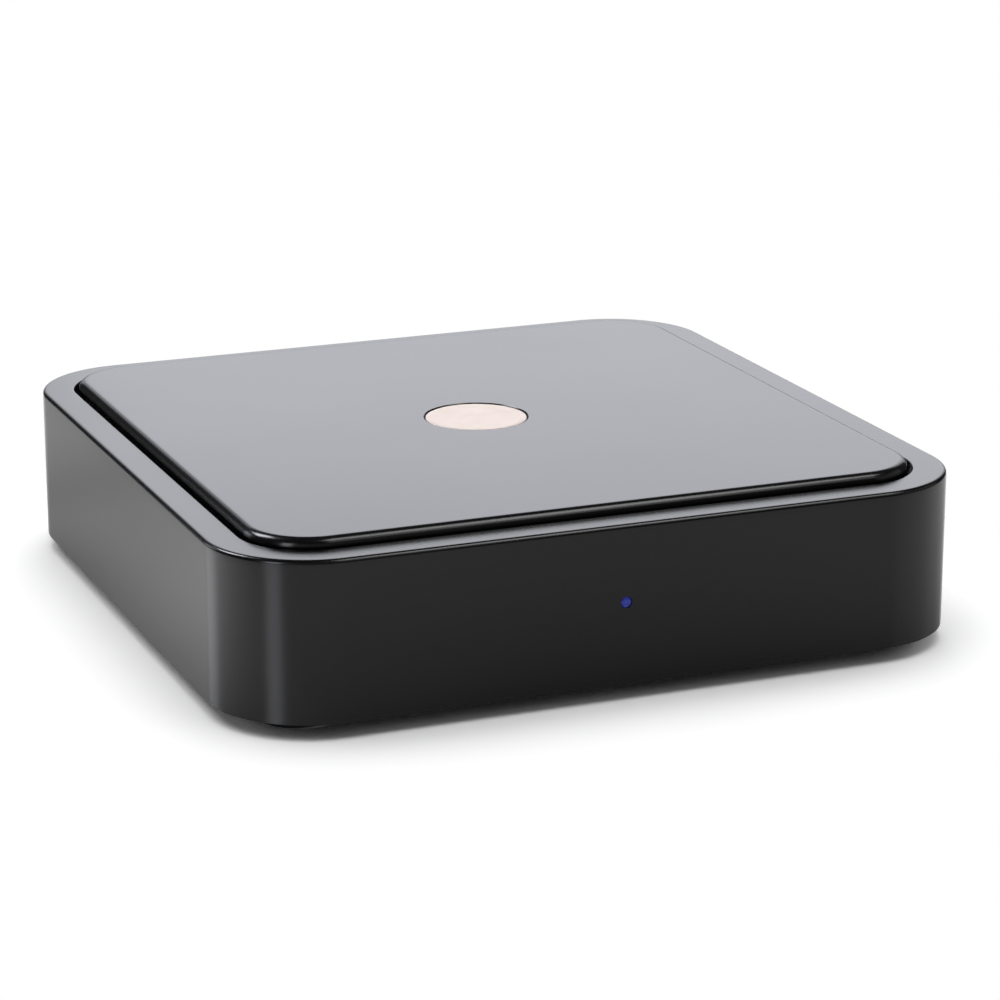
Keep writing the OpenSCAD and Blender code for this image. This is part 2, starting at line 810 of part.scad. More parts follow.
module led_holder() {
  slot_y0 = led_y0 + led_l - led_lead_w - led_lead_gap;
  slot_w = 2 * led_lead_x + led_lead_w + 2 * led_lead_gap;
  color("#1a1a1a") difference() {
    block(0, holder_side, holder_y0, led_y0 + holder_l, board_z1, light_z + holder_over);
    bar_y(0, light_z, led_d + 2 * running_gap, holder_y0 - cut, led_y0 + holder_l + cut);
    block(0, slot_w, slot_y0, led_y0 + holder_l + cut, board_z1 - cut, light_z);
  }
}

// Circuit board and what it carries

module main_board() {
  color("#1f5a35") difference() {
    block(0, board_w, board_y0, board_y1, board_z0, board_z1);
    at_posts() translate([0, 0, board_z0 - cut]) cylinder(d = board_hole_d, h = board_t + 2 * cut);
  }
}

module board_screws() {
  color("#a9abae") at_posts() {
    translate([0, 0, board_z1]) cylinder(d = board_screw_head_d, h = board_screw_head_t);
    translate([0, 0, board_z1 - board_screw_l]) cylinder(d = board_screw_d, h = board_screw_l + eps);
  }
}

module radio_header() {
  y1 = radio_y + radio_d / 2;
  color("#191919") block(radio_x, radio_w - 2 * header_margin, y1 - header_d, y1, board_z1, radio_z0);
}

module radio_module() {
  color("#22442e") block(radio_x, radio_w, radio_y - radio_d / 2, radio_y + radio_d / 2, radio_z0, plug_z0);
}

module radio_shield_can() {
  color("#c4c6c8") block(radio_x, can_w, can_y - can_d / 2, can_y + can_d / 2, plug_z0, plug_z0 + can_h);
}

module aerial_plugs() {
  color("#caa656") for (x = plug_xs) translate([x, plug_y, plug_z0]) cylinder(d = plug_d, h = plug_h);
}

module aerial(x) {
  translate([x, aerial_y, aerial_z]) cube([aerial_t, aerial_l, aerial_h], center = true);
}

module aerial_left() {
  color("#3b3322") aerial(-aerial_x - aerial_t / 2);
}

module aerial_right() {
  color("#3b3322") aerial(aerial_x + aerial_t / 2);
}

module aerial_leads() {
  color("#3a3a3c") {
    tube(lead_left, lead_d, lead_sides);
    tube(lead_right, lead_d, lead_sides);
  }
}

// A flat part on the circuit board, with its rear face at y1
module board_part(x, y1, size) {
  block(x, size[0], y1 - size[1], y1, board_z1, board_z1 + size[2]);
}

module network_transformer() {
  color("#151515") board_part(net_x, net_y0 - transformer_gap, transformer);
}

module converter_chip() {
  color("#202022") board_part(phono_right_x, phono_y0 - converter_gap, converter);
}

module memory_chip() {
  color("#202022") board_part(memory_x, board_y0 + memory_gap + memory[1], memory);
}

module crystal() {
  color("#c9c9c9") board_part(crystal_x, board_y0 + crystal_gap + crystal_size[1], crystal_size);
}

module power_inductor() {
  color("#4a4a4c") board_part(power_x, flange_y - power_l - inductor_gap, inductor);
}

module voltage_regulator() {
  color("#202022") board_part(power_x, flange_y - power_l - regulator_gap, regulator);
}

module capacitors() {
  cap_reach = (power_cap_d + power_cap_space) / 2;
  color("#2d3f7a") {
    for (x = phono_xs)
      translate([x, phono_y0 - audio_cap_gap, board_z1]) cylinder(d = audio_cap_d, h = audio_cap_h);
    for (x = [power_x - cap_reach, power_x + cap_reach])
      translate([x, flange_y - power_l - power_cap_gap, board_z1]) cylinder(d = power_cap_d, h = power_cap_h);
  }
}

module place() {
  translate([0, -origin_y, 0]) children();
}

place() outer_shell();
place() base_cover();
place() top_plate();
place() top_plate_tape();
place() badge();
place() rear_panel();
place() rubber_feet();
place() cover_screws();
place() main_board();
place() board_screws();
place() ethernet_jack_can();
place() ethernet_jack_insert();
place() ethernet_contacts();
place() optical_jack_body();
place() optical_flap();
place() optical_emitter();
place() aux_jack_body();
place() power_jack_body();
place() power_centre_pin();
place() phono_jack_block();
place() phono_barrels();
place() phono_left_insulator();
place() phono_right_insulator();
place() phono_centre_contacts();
place() setup_button();
place() setup_plunger();
place() setup_switch();
place() reset_plunger();
place() reset_switch();
place() status_led();
place() led_holder();
place() light_pipe();
place() radio_module();
place() radio_shield_can();
place() radio_header();
place() aerial_plugs();
place() aerial_left();
place() aerial_right();
place() aerial_leads();
place() network_transformer();
place() converter_chip();
place() memory_chip();
place() crystal();
place() power_inductor();
place() voltage_regulator();
place() capacitors();
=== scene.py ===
"""Looks of a network music streamer: a low black box with a floating top plate and a rear row of sockets."""
import math

import bmesh
import bpy
from mathutils import Matrix, Vector

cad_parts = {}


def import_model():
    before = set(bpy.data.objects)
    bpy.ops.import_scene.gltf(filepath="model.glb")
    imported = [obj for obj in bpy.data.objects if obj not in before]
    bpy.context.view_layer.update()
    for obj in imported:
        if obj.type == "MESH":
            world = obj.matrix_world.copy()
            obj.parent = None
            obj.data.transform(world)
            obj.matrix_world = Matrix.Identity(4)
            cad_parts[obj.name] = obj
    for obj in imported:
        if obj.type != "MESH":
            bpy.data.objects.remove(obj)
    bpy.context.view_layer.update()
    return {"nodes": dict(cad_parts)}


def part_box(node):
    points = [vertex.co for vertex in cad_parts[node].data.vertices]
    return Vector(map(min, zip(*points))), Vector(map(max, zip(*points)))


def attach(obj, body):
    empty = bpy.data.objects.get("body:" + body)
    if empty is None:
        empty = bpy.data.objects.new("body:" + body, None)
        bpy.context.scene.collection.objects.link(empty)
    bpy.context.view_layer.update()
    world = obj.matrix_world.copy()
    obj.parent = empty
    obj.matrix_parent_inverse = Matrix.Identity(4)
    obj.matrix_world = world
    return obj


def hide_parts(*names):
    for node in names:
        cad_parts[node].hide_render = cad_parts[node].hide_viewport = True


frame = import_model()
scene = bpy.context.scene
scene.view_settings.view_transform = "Standard"

MM = 0.001
HOUSING = "housing"
X_AXIS, Y_AXIS, Z_AXIS = (1, 0, 0), (0, 1, 0), (0, 0, 1)

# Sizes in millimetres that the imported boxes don't give.
CORNER_R = 19.0
WALL = 2.4
SEAT_WALL = 1.3
COVER_INSET = 1.45
COVER_T = 2.4
RIM_W = 6.1
RIM_EDGE_R = 0.75
RIM_INNER_R = 0.2
RECESS_DEPTH = 2.4
DECK_T = 2.0
PLATE_INSET = 7.05
PLATE_EDGE_R = 1.6
PLATE_T = 3.7
BADGE_GAP = 0.25
LIGHT_R = 1.0
LIGHT_FLANGE_R, LIGHT_FLANGE_T = 2.0, 1.2
VENT_W, VENT_L = 1.8, 26.0
VENT_COLUMNS, VENT_COLUMN_STEP = 13, 4.4
VENT_ROWS, VENT_ROW_STEP = 2, 38.0
FOOT_R = 9.0
FOOT_EDGE_R = 0.8
FOOT_GROOVE = 0.25
WINDOW_W, WINDOW_H, WINDOW_R = 99.0, 17.0, 2.0
PANEL_GAP = 0.3
FLANGE_T = 1.6
SOCKET_GAP = 0.2
PHONO_CORE_R = 3.4
PHONO_REAR_R = 2.2
PHONO_BORE_R, PHONO_BORE_DEPTH = 1.6, 3.4
PHONO_COLLAR_R, PHONO_COLLAR_T = 5.2, 2.6
PHONO_BARREL_R = 4.15
AUX_NOSE_R, AUX_BORE_R, AUX_BORE_DEPTH = 3.0, 1.8, 12.0
POWER_NOSE_R, POWER_BORE_R, POWER_BORE_DEPTH = 4.3, 3.15, 9.5
CAN_T, CAN_FRAME_W = 0.4, 1.2
PLUG_W, PLUG_H, PLUG_DEPTH, PLUG_RISE = 11.9, 7.0, 12.6, 4.6
LATCH_W, LATCH_H = 6.2, 2.2
CONTACTS, CONTACT_W = 8, 0.5
OPTICAL_W = 9.8
OPTICAL_MOUTH_W, OPTICAL_MOUTH_H, OPTICAL_MOUTH_DEPTH = 7.8, 7.2, 9.5
FLAP_W = 7.4
FLAP_PIN_R, FLAP_PIN_BORE_R = 0.4, 0.45
BUTTON_R, BUTTON_STEM_R, BUTTON_FLANGE_T = 2.95, 1.5, 0.8
PINHOLE_R = 0.9
# A cutter runs this far past the face that it opens.
PAST = 1.0


# Meshes

def mm(*values):
    return Vector(values) * MM


def node_box(name):
    """A CAD node's lowest and highest corners, in millimetres."""
    low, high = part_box(name)
    return low / MM, high / MM


def node_middle(name):
    low, high = node_box(name)
    return (low + high) / 2


def rounded_outline(width, depth, radius, steps):
    """Points around a rounded rectangle, anticlockwise, in millimetres."""
    points = []
    for quarter, (sx, sy) in enumerate(((1, 1), (-1, 1), (-1, -1), (1, -1))):
        for k in range(steps + 1):
            angle = math.radians(90 * quarter + 90 * k / steps)
            points.append((
                sx * (width / 2 - radius) + radius * math.cos(angle),
                sy * (depth / 2 - radius) + radius * math.sin(angle),
            ))
    return points


def quarter_round(start, end, centre, steps):
    """Points on the arc from start to end about centre, both ends included."""
    first = math.atan2(start[1] - centre[1], start[0] - centre[0])
    last = math.atan2(end[1] - centre[1], end[0] - centre[0])
    radius = math.dist(start, centre)
    turn = (last - first + math.pi) % (2 * math.pi) - math.pi
    angles = (first + turn * k / steps for k in range(steps + 1))
    return [(centre[0] + radius * math.cos(a), centre[1] + radius * math.sin(a)) for a in angles]


def mesh_object(name, bm):
    bmesh.ops.remove_doubles(bm, verts=bm.verts, dist=1e-8)
    bmesh.ops.recalc_face_normals(bm, faces=bm.faces)
    mesh = bpy.data.meshes.new(name)
    bm.to_mesh(mesh)
    bm.free()
    obj = bpy.data.objects.new(name, mesh)
    scene.collection.objects.link(obj)
    return obj


def lofted(name, rings):
    """An object whose skin joins closed rings of equal length, with both ends closed."""
    bm = bmesh.new()
    loops = [[bm.verts.new(p) for p in ring] for ring in rings]
    for low, high in zip(loops, loops[1:]):
        for k in range(len(low)):
            n = (k + 1) % len(low)
            bm.faces.new((low[k], low[n], high[n], high[k]))
    bm.faces.new(list(reversed(loops[0])))
    bm.faces.new(loops[-1])
    return mesh_object(name, bm)


def add_turned(bm, section, foot, axis, steps):
    """A turned solid: section is (radius, distance along axis), from foot, in millimetres."""
    axis = Vector(axis)
    side = axis.orthogonal().normalized()
    other = axis.cross(side)
    loops = []
    for radius, along in section:
        centre = Vector(foot) + axis * along
        if radius < 1e-6:
            loops.append([bm.verts.new(centre * MM)])
            continue
        loops.append([
            bm.verts.new((centre + (side * math.cos(a) + other * math.sin(a)) * radius) * MM)
            for a in (2 * math.pi * k / steps for k in range(steps))
        ])
    closed = section[0][0] > 1e-6 and section[-1][0] > 1e-6
    pairs = list(zip(loops, loops[1:])) + ([(loops[-1], loops[0])] if closed else [])
    for low, high in pairs:
        for k in range(steps):
            n = (k + 1) % steps
            corners = [low[k % len(low)], low[n % len(low)], high[n % len(high)], high[k % len(high)]]
            unique = list(dict.fromkeys(corners))
            if len(unique) > 2:
                bm.faces.new(unique)


def turned(name, section, foot, axis, steps):
    """A turned object, from a section of (radius, distance along axis) in millimetres."""
    bm = bmesh.new()
    add_turned(bm, section, foot, axis, steps)
    return mesh_object(name, bm)


def add_block(bm, low, high):
    """A block between two corners, in millimetres."""
    low, high = mm(*low), mm(*high)
    made = bmesh.ops.create_cube(bm, size=1.0)["verts"]
    bmesh.ops.scale(bm, vec=high - low, verts=made)
    bmesh.ops.translate(bm, vec=(low + high) / 2, verts=made)


def block(name, low, high):
    """A block object between two corners, in millimetres."""
    bm = bmesh.new()
    add_block(bm, low, high)
    return mesh_object(name, bm)


def settle(obj):
    """Turns the object and its modifiers into one plain mesh."""
    graph = bpy.context.evaluated_depsgraph_get()
    result = bpy.data.meshes.new_from_object(obj.evaluated_get(graph))
    old = obj.data
    obj.modifiers.clear()
    obj.data = result
    bpy.data.meshes.remove(old)


def combine(obj, tool, operation):
    step = obj.modifiers.new("combine", "BOOLEAN")
    step.operation = operation
    step.solver = "EXACT"
    step.object = tool
    settle(obj)
    bpy.data.objects.remove(tool)


def cut(obj, tool):
    """Takes the tool's closed shape out of the object."""
    combine(obj, tool, "DIFFERENCE")


def join(obj, tool):
    """Adds the tool's closed shape to the object."""
    combine(obj, tool, "UNION")


def shade(obj, angle):
    """Shades the object smooth, with edges past the angle in degrees left sharp."""
    obj.data.shade_smooth()
    obj.data.set_sharp_from_angle(angle=math.radians(angle))


def soften(obj, width):
    """Rounds the sharp edges, keeps the flat faces flat, and shades the rest smooth."""
    bevel = obj.modifiers.new("edge", "BEVEL")
    bevel.width = width * MM
    bevel.segments = 2
    bevel.limit_method = "ANGLE"
    bevel.angle_limit = math.radians(32)
    bevel.use_clamp_overlap = True
    settle(obj)
    shade(obj, 50)
    flat = obj.modifiers.new("flat faces", "WEIGHTED_NORMAL")
    flat.keep_sharp = True
    settle(obj)


def fit_out(obj, body, finish, node):
    """Gives a piece its material and body, and hides the CAD node that it stands for."""
    obj.data.materials.clear()
    obj.data.materials.append(finish)
    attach(obj, body)
    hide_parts(node)


# Rows of equal shapes

def rows_tree():
    """Geometry Nodes that copy a shape along columns (X) and rows (Y)."""
    tree = bpy.data.node_groups.new("Set out in rows", "GeometryNodeTree")
    tree.interface.new_socket("Geometry", in_out="INPUT", socket_type="NodeSocketGeometry")
    inputs = {}
    for name, kind in (
        ("Columns", "Int"), ("Column Step", "Float"), ("Rows", "Int"), ("Row Step", "Float"),
        ("Start", "Vector"), ("Finish", "Material"),
    ):
        socket = tree.interface.new_socket(name, in_out="INPUT", socket_type=f"NodeSocket{kind}")
        inputs[name] = socket.identifier
    tree.interface.new_socket("Geometry", in_out="OUTPUT", socket_type="NodeSocketGeometry")
    node, link = tree.nodes.new, tree.links.new
    source, result = node("NodeGroupInput"), node("NodeGroupOutput")
    column_step, row_step = node("ShaderNodeCombineXYZ"), node("ShaderNodeCombineXYZ")
    columns, rows = node("GeometryNodeMeshLine"), node("GeometryNodeMeshLine")
    grid, copies = node("GeometryNodeInstanceOnPoints"), node("GeometryNodeInstanceOnPoints")
    grid_points, solid = node("GeometryNodeRealizeInstances"), node("GeometryNodeRealizeInstances")
    finish = node("GeometryNodeSetMaterial")
    for line in (columns, rows):
        line.mode = "OFFSET"
    link(source.outputs["Column Step"], column_step.inputs["X"])
    link(source.outputs["Row Step"], row_step.inputs["Y"])
    link(source.outputs["Columns"], columns.inputs["Count"])
    link(source.outputs["Rows"], rows.inputs["Count"])
    link(source.outputs["Start"], columns.inputs["Start Location"])
    link(column_step.outputs["Vector"], columns.inputs["Offset"])
    link(row_step.outputs["Vector"], rows.inputs["Offset"])
    link(columns.outputs["Mesh"], grid.inputs["Points"])
    link(rows.outputs["Mesh"], grid.inputs["Instance"])
    link(grid.outputs["Instances"], grid_points.inputs["Geometry"])
    link(grid_points.outputs["Geometry"], copies.inputs["Points"])
    link(source.outputs["Geometry"], copies.inputs["Instance"])
    link(copies.outputs["Instances"], solid.inputs["Geometry"])
    link(solid.outputs["Geometry"], finish.inputs["Geometry"])
    link(source.outputs["Finish"], finish.inputs["Material"])
    link(finish.outputs["Geometry"], result.inputs["Geometry"])
    return tree, inputs


ROWS_TREE, ROWS_INPUTS = rows_tree()


def set_out(obj, columns, column_step, rows, row_step, start, finish):
    """Copies the object's shape over a grid of places, in millimetres."""
    step = obj.modifiers.new("rows", "NODES")
    step.node_group = ROWS_TREE
    values = {
        "Columns": columns, "Column Step": column_step * MM, "Rows": rows, "Row Step": row_step * MM,
        "Start": [v * MM for v in start], "Finish": finish,
    }
    for name, value in values.items():
        step[ROWS_INPUTS[name]] = value
    settle(obj)


# Shader nodes

def rgba(r, g, b):
    return (r, g, b, 1.0)


def feed(tree, value, socket):
    """Leads an output to a socket, or sets the socket to a plain number or vector."""
    if isinstance(value, (float, tuple)):
        socket.default_value = value
    else:
        tree.links.new(value, socket)


def object_place(tree):
    return tree.nodes.new("ShaderNodeTexCoord").outputs["Object"]


def noise(tree, vector, scale, detail=2.0):
    node = tree.nodes.new("ShaderNodeTexNoise")
    node.inputs["Detail"].default_value = detail
    tree.links.new(vector, node.inputs["Vector"])
    feed(tree, scale, node.inputs["Scale"])
    return node.outputs["Fac"]


def math_node(tree, operation, first, second):
    node = tree.nodes.new("ShaderNodeMath")
    node.operation = operation
    feed(tree, first, node.inputs[0])
    feed(tree, second, node.inputs[1])
    return node.outputs["Value"]


def vector_node(tree, operation, first, second=(0, 0, 0)):
    node = tree.nodes.new("ShaderNodeVectorMath")
    node.operation = operation
    tree.links.new(first, node.inputs[0])
    feed(tree, second, node.inputs[1])
    return node.outputs["Value" if operation in ("LENGTH", "DISTANCE") else "Vector"]


def remap(tree, value, low, high, to_low, to_high):
    node = tree.nodes.new("ShaderNodeMapRange")
    tree.links.new(value, node.inputs["Value"])
    node.inputs["From Min"].default_value = low
    node.inputs["From Max"].default_value = high
    feed(tree, to_low, node.inputs["To Min"])
    feed(tree, to_high, node.inputs["To Max"])
    return node.outputs["Result"]


def blend_colours(tree, factor, first, second):
    node = tree.nodes.new("ShaderNodeMix")
    node.data_type = "RGBA"
    tree.links.new(factor, node.inputs["Factor"])
    tree.links.new(first, node.inputs["A"])
    tree.links.new(second, node.inputs["B"])
    return node.outputs["Result"]


def ramp(tree, factor, first, second, low=0.0, high=1.0):
    """A colour that runs from first at low to second at high."""
    node = tree.nodes.new("ShaderNodeValToRGB")
    for element, position, colour in zip(node.color_ramp.elements, (low, high), (first, second)):
        element.position = position
        element.color = rgba(*colour)
    tree.links.new(factor, node.inputs["Fac"])
    return node.outputs["Color"]


def distance_from(tree, place, centre, scale=(1.0, 1.0, 1.0)):
    """Distance from a centre in metres, over the axes that the scale keeps."""
    shift = tree.nodes.new("ShaderNodeMapping")
    shift.inputs["Location"].default_value = -Vector(centre)
    shift.inputs["Scale"].default_value = scale
    tree.links.new(place, shift.inputs["Vector"])
    return vector_node(tree, "LENGTH", shift.outputs["Vector"])


def wire_bump(tree, shader, height, strength, depth):
    """Leads a height to the shader's normal; depth is in millimetres."""
    node = tree.nodes.new("ShaderNodeBump")
    node.inputs["Strength"].default_value = strength
    node.inputs["Distance"].default_value = depth * MM
    tree.links.new(height, node.inputs["Height"])
    tree.links.new(node.outputs["Normal"], shader.inputs["Normal"])


def mix_shaders(tree, share, first, second):
    node = tree.nodes.new("ShaderNodeMixShader")
    feed(tree, share, node.inputs["Fac"])
    tree.links.new(first, node.inputs[1])
    tree.links.new(second, node.inputs[2])
    return node.outputs["Shader"]


# Surface groups that the materials share

def surface_group(name, inputs):
    """A shader group with the given inputs that puts out colour, roughness and height."""
    group = bpy.data.node_groups.new(name, "ShaderNodeTree")
    for label, kind, default in inputs:
        socket = group.interface.new_socket(label, in_out="INPUT", socket_type=f"NodeSocket{kind}")
        socket.default_value = default
    for label, kind in (("Color", "Color"), ("Roughness", "Float"), ("Height", "Float")):
        group.interface.new_socket(label, in_out="OUTPUT", socket_type=f"NodeSocket{kind}")
    return group, group.nodes.new("NodeGroupInput").outputs, group.nodes.new("NodeGroupOutput").inputs


def moulded_group():
    """Spark-eroded moulding: fine grain, a faint slow drift in tone and a slightly uneven sheen."""
    group, source, result = surface_group("Moulded surface", [
        ("Dark", "Color", rgba(0.01, 0.01, 0.01)), ("Light", "Color", rgba(0.02, 0.02, 0.02)),
        ("Grain", "Float", 5000.0), ("Low Rough", "Float", 0.3), ("High Rough", "Float", 0.4),
    ])
    place = object_place(group)
    grain = noise(group, place, source["Grain"], detail=3.0)
    drift = noise(group, place, 28.0)
    half_drift, half_grain = (math_node(group, "MULTIPLY", value, 0.5) for value in (drift, grain))
    tone = math_node(group, "ADD", half_drift, half_grain)
    link = group.links.new
    link(blend_colours(group, tone, source["Dark"], source["Light"]), result["Color"])
    link(remap(group, tone, 0.35, 0.65, source["Low Rough"], source["High Rough"]), result["Roughness"])
    link(grain, result["Height"])
    return group


def plated_group():
    """Plated or rolled metal: fine drawn lines along one direction and faint stains."""
    group, source, result = surface_group("Plated metal", [
        ("Dark", "Color", rgba(0.5, 0.5, 0.5)), ("Light", "Color", rgba(0.6, 0.6, 0.6)),
        ("Stretch", "Vector", (1.0, 1.0, 1.0)), ("Low Rough", "Float", 0.2), ("High Rough", "Float", 0.35),
    ])
    place = object_place(group)
    lines = noise(group, vector_node(group, "MULTIPLY", place, source["Stretch"]), 1.0, detail=3.0)
    stain = noise(group, place, 320.0, detail=3.0)
    link = group.links.new
    link(blend_colours(group, stain, source["Dark"], source["Light"]), result["Color"])
    link(remap(group, lines, 0.25, 0.75, source["Low Rough"], source["High Rough"]), result["Roughness"])
    link(lines, result["Height"])
    return group


MOULDED = moulded_group()
PLATED = plated_group()


# Materials

def new_material(name):
    material = bpy.data.materials.new(name)
    material.use_nodes = True
    return material, material.node_tree, material.node_tree.nodes["Principled BSDF"]


def wire_surface(tree, shader, group, dark, light, rough, extra, bump, depth):
    """Places a surface group in a material and leads it to colour, roughness and bump."""
    surface = tree.nodes.new("ShaderNodeGroup")
    surface.node_tree = group
    values = {"Dark": rgba(*dark), "Light": rgba(*light), **extra}
    values["Low Rough"], values["High Rough"] = rough
    for label, value in values.items():
        surface.inputs[label].default_value = value
    tree.links.new(surface.outputs["Color"], shader.inputs["Base Color"])
    tree.links.new(surface.outputs["Roughness"], shader.inputs["Roughness"])
    wire_bump(tree, shader, surface.outputs["Height"], bump, depth)


def moulding(name, dark, light, grain, rough, bump, depth, ior=1.46):
    material, tree, shader = new_material(name)
    shader.inputs["IOR"].default_value = ior
    wire_surface(tree, shader, MOULDED, dark, light, rough, {"Grain": grain}, bump, depth)
    return material


def plating(name, dark, light, stretch, rough, bump=0.05):
    material, tree, shader = new_material(name)
    shader.inputs["Metallic"].default_value = 1.0
    wire_surface(tree, shader, PLATED, dark, light, rough, {"Stretch": stretch}, bump, 0.02)
    return material


def rose_badge_material(centre):
    """Rose anodised metal with fine turned lines about the badge's middle."""
    material, tree, shader = new_material("rose anodised badge")
    shader.inputs["Metallic"].default_value = 1.0
    place = object_place(tree)
    ring = tree.nodes.new("ShaderNodeTexNoise")
    ring.noise_dimensions = "1D"
    ring.inputs["Scale"].default_value = 9000.0
    ring.inputs["Detail"].default_value = 2.0
    tree.links.new(distance_from(tree, place, centre), ring.inputs["W"])
    lines = ring.outputs["Fac"]
    cloud = noise(tree, place, 260.0, detail=3.0)
    tone = ramp(tree, cloud, (0.845, 0.732, 0.654), (0.905, 0.790, 0.712), 0.3, 0.7)
    tree.links.new(tone, shader.inputs["Base Color"])
    tree.links.new(remap(tree, lines, 0.2, 0.8, 0.46, 0.56), shader.inputs["Roughness"])
    wire_bump(tree, shader, lines, 0.08, 0.01)
    return material


def status_light_material(centre):
    """Blue-lit clear moulding, brighter in the middle of its face."""
    material, tree, shader = new_material("blue status light")
    shader.inputs["Roughness"].default_value = 0.25
    shader.inputs["Emission Strength"].default_value = 1.0
    place = object_place(tree)
    reach = distance_from(tree, place, (centre.x, 0, centre.z), (1.0, 0.0, 1.0))
    edge = remap(tree, reach, 0.3 * MM, 1.1 * MM, 0.0, 1.0)
    glow = ramp(tree, edge, (0.003, 0.012, 0.175), (0.002, 0.006, 0.095))
    tree.links.new(glow, shader.inputs["Emission Color"])
    body = ramp(tree, noise(tree, place, 2500.0), (0.010, 0.012, 0.050), (0.016, 0.020, 0.075))
    tree.links.new(body, shader.inputs["Base Color"])
    return material


def board_material():
    """Green solder mask with paler traces under it."""
    material, tree, shader = new_material("solder mask")
    place = object_place(tree)
    trace = tree.nodes.new("ShaderNodeTexBrick")
    trace.inputs["Scale"].default_value = 160.0
    trace.inputs["Mortar Size"].default_value = 0.03
    trace.inputs["Color1"].default_value = rgba(0.010, 0.060, 0.026)
    trace.inputs["Color2"].default_value = rgba(0.014, 0.075, 0.032)
    trace.inputs["Mortar"].default_value = rgba(0.030, 0.130, 0.060)
    tree.links.new(place, trace.inputs["Vector"])
    tree.links.new(trace.outputs["Color"], shader.inputs["Base Color"])
    tree.links.new(remap(tree, noise(tree, place, 900.0), 0.3, 0.7, 0.28, 0.42), shader.inputs["Roughness"])
    wire_bump(tree, shader, trace.outputs["Fac"], 0.2, 0.03)
    return material


SHELL_BLACK = moulding("satin black shell", (0.0022, 0.0022, 0.0024), (0.0034, 0.0034, 0.0037), 4200.0,
                       (0.20, 0.215), 0.03, 0.02, ior=1.42)
PLATE_BLACK = moulding("satin black top plate", (0.0024, 0.0024, 0.0027), (0.0036, 0.0036, 0.0040), 4600.0,
                       (0.20, 0.215), 0.03, 0.02, ior=1.42)
BASE_BLACK = moulding("eroded black base", (0.0085, 0.0085, 0.0088), (0.0150, 0.0150, 0.0155), 2200.0,
                      (0.48, 0.62), 0.35, 0.05)
PANEL_BLACK = moulding("matte black rear panel", (0.0075, 0.0075, 0.0078), (0.0120, 0.0120, 0.0125), 2800.0,
                       (0.42, 0.55), 0.25, 0.04)
JACK_BLACK = moulding("black socket moulding", (0.0060, 0.0060, 0.0062), (0.0110, 0.0110, 0.0115), 3600.0,
                      (0.30, 0.42), 0.12, 0.02)
FLAP_BLACK = moulding("black flap", (0.0100, 0.0100, 0.0104), (0.0165, 0.0165, 0.0170), 3000.0,
                      (0.38, 0.5), 0.2, 0.03)
BUTTON_BLACK = moulding("satin black button", (0.0110, 0.0110, 0.0115), (0.0180, 0.0180, 0.0185), 3400.0,
                        (0.32, 0.44), 0.1, 0.02)
FOOT_RUBBER = moulding("black foot rubber", (0.0060, 0.0060, 0.0060), (0.0120, 0.0120, 0.0120), 1500.0,
                       (0.72, 0.88), 0.4, 0.06)
PHONO_WHITE = moulding("white phono moulding", (0.70, 0.70, 0.67), (0.80, 0.80, 0.77), 2600.0,
                       (0.26, 0.38), 0.06, 0.02)
PHONO_RED = moulding("red phono moulding", (0.36, 0.010, 0.012), (0.46, 0.018, 0.020), 2600.0,
                     (0.26, 0.38), 0.06, 0.02)
PALE_PLUNGER = moulding("pale plunger", (0.55, 0.55, 0.52), (0.66, 0.66, 0.63), 2400.0,
                        (0.35, 0.5), 0.1, 0.02)
CHIP_BLACK = moulding("chip epoxy", (0.010, 0.010, 0.010), (0.018, 0.018, 0.018), 2600.0,
                      (0.5, 0.65), 0.3, 0.03)
FERRITE_GREY = moulding("grey ferrite", (0.040, 0.040, 0.042), (0.070, 0.070, 0.073), 1800.0,
                        (0.6, 0.75), 0.4, 0.05)
CAP_BLUE = moulding("capacitor sleeve", (0.020, 0.034, 0.120), (0.030, 0.048, 0.160), 1600.0,
                    (0.3, 0.42), 0.08, 0.02)
TAPE_GREY = moulding("foam tape", (0.018, 0.018, 0.018), (0.032, 0.032, 0.032), 1400.0,
                     (0.8, 0.92), 0.5, 0.08)
FILM_BROWN = moulding("aerial film", (0.060, 0.042, 0.018), (0.095, 0.066, 0.028), 900.0,
                      (0.35, 0.5), 0.1, 0.02)
LEAD_GREY = moulding("lead jacket", (0.026, 0.026, 0.027), (0.045, 0.045, 0.047), 2400.0,
                     (0.45, 0.6), 0.2, 0.02)
LENS_RED = moulding("red emitter lens", (0.16, 0.008, 0.008), (0.24, 0.014, 0.014), 1800.0,
                    (0.12, 0.2), 0.03, 0.01)
LED_CLEAR = moulding("clear diode epoxy", (0.50, 0.58, 0.82), (0.60, 0.68, 0.90), 1500.0,
                     (0.1, 0.18), 0.03, 0.01)
NICKEL = plating("bright nickel", (0.60, 0.59, 0.56), (0.70, 0.69, 0.66), (900, 9000, 900), (0.14, 0.24))
GOLD = plating("gold plate", (0.72, 0.50, 0.18), (0.82, 0.60, 0.24), (9000, 900, 9000), (0.18, 0.28))
CAN_STEEL = plating("tinned steel", (0.50, 0.51, 0.52), (0.62, 0.63, 0.64), (700, 7000, 700),
                    (0.24, 0.36), 0.1)
SCREW_STEEL = plating("zinc screws", (0.42, 0.43, 0.44), (0.55, 0.56, 0.57), (3000, 3000, 6000),
                      (0.3, 0.42), 0.1)
SOLDER_MASK = board_material()


# Housing

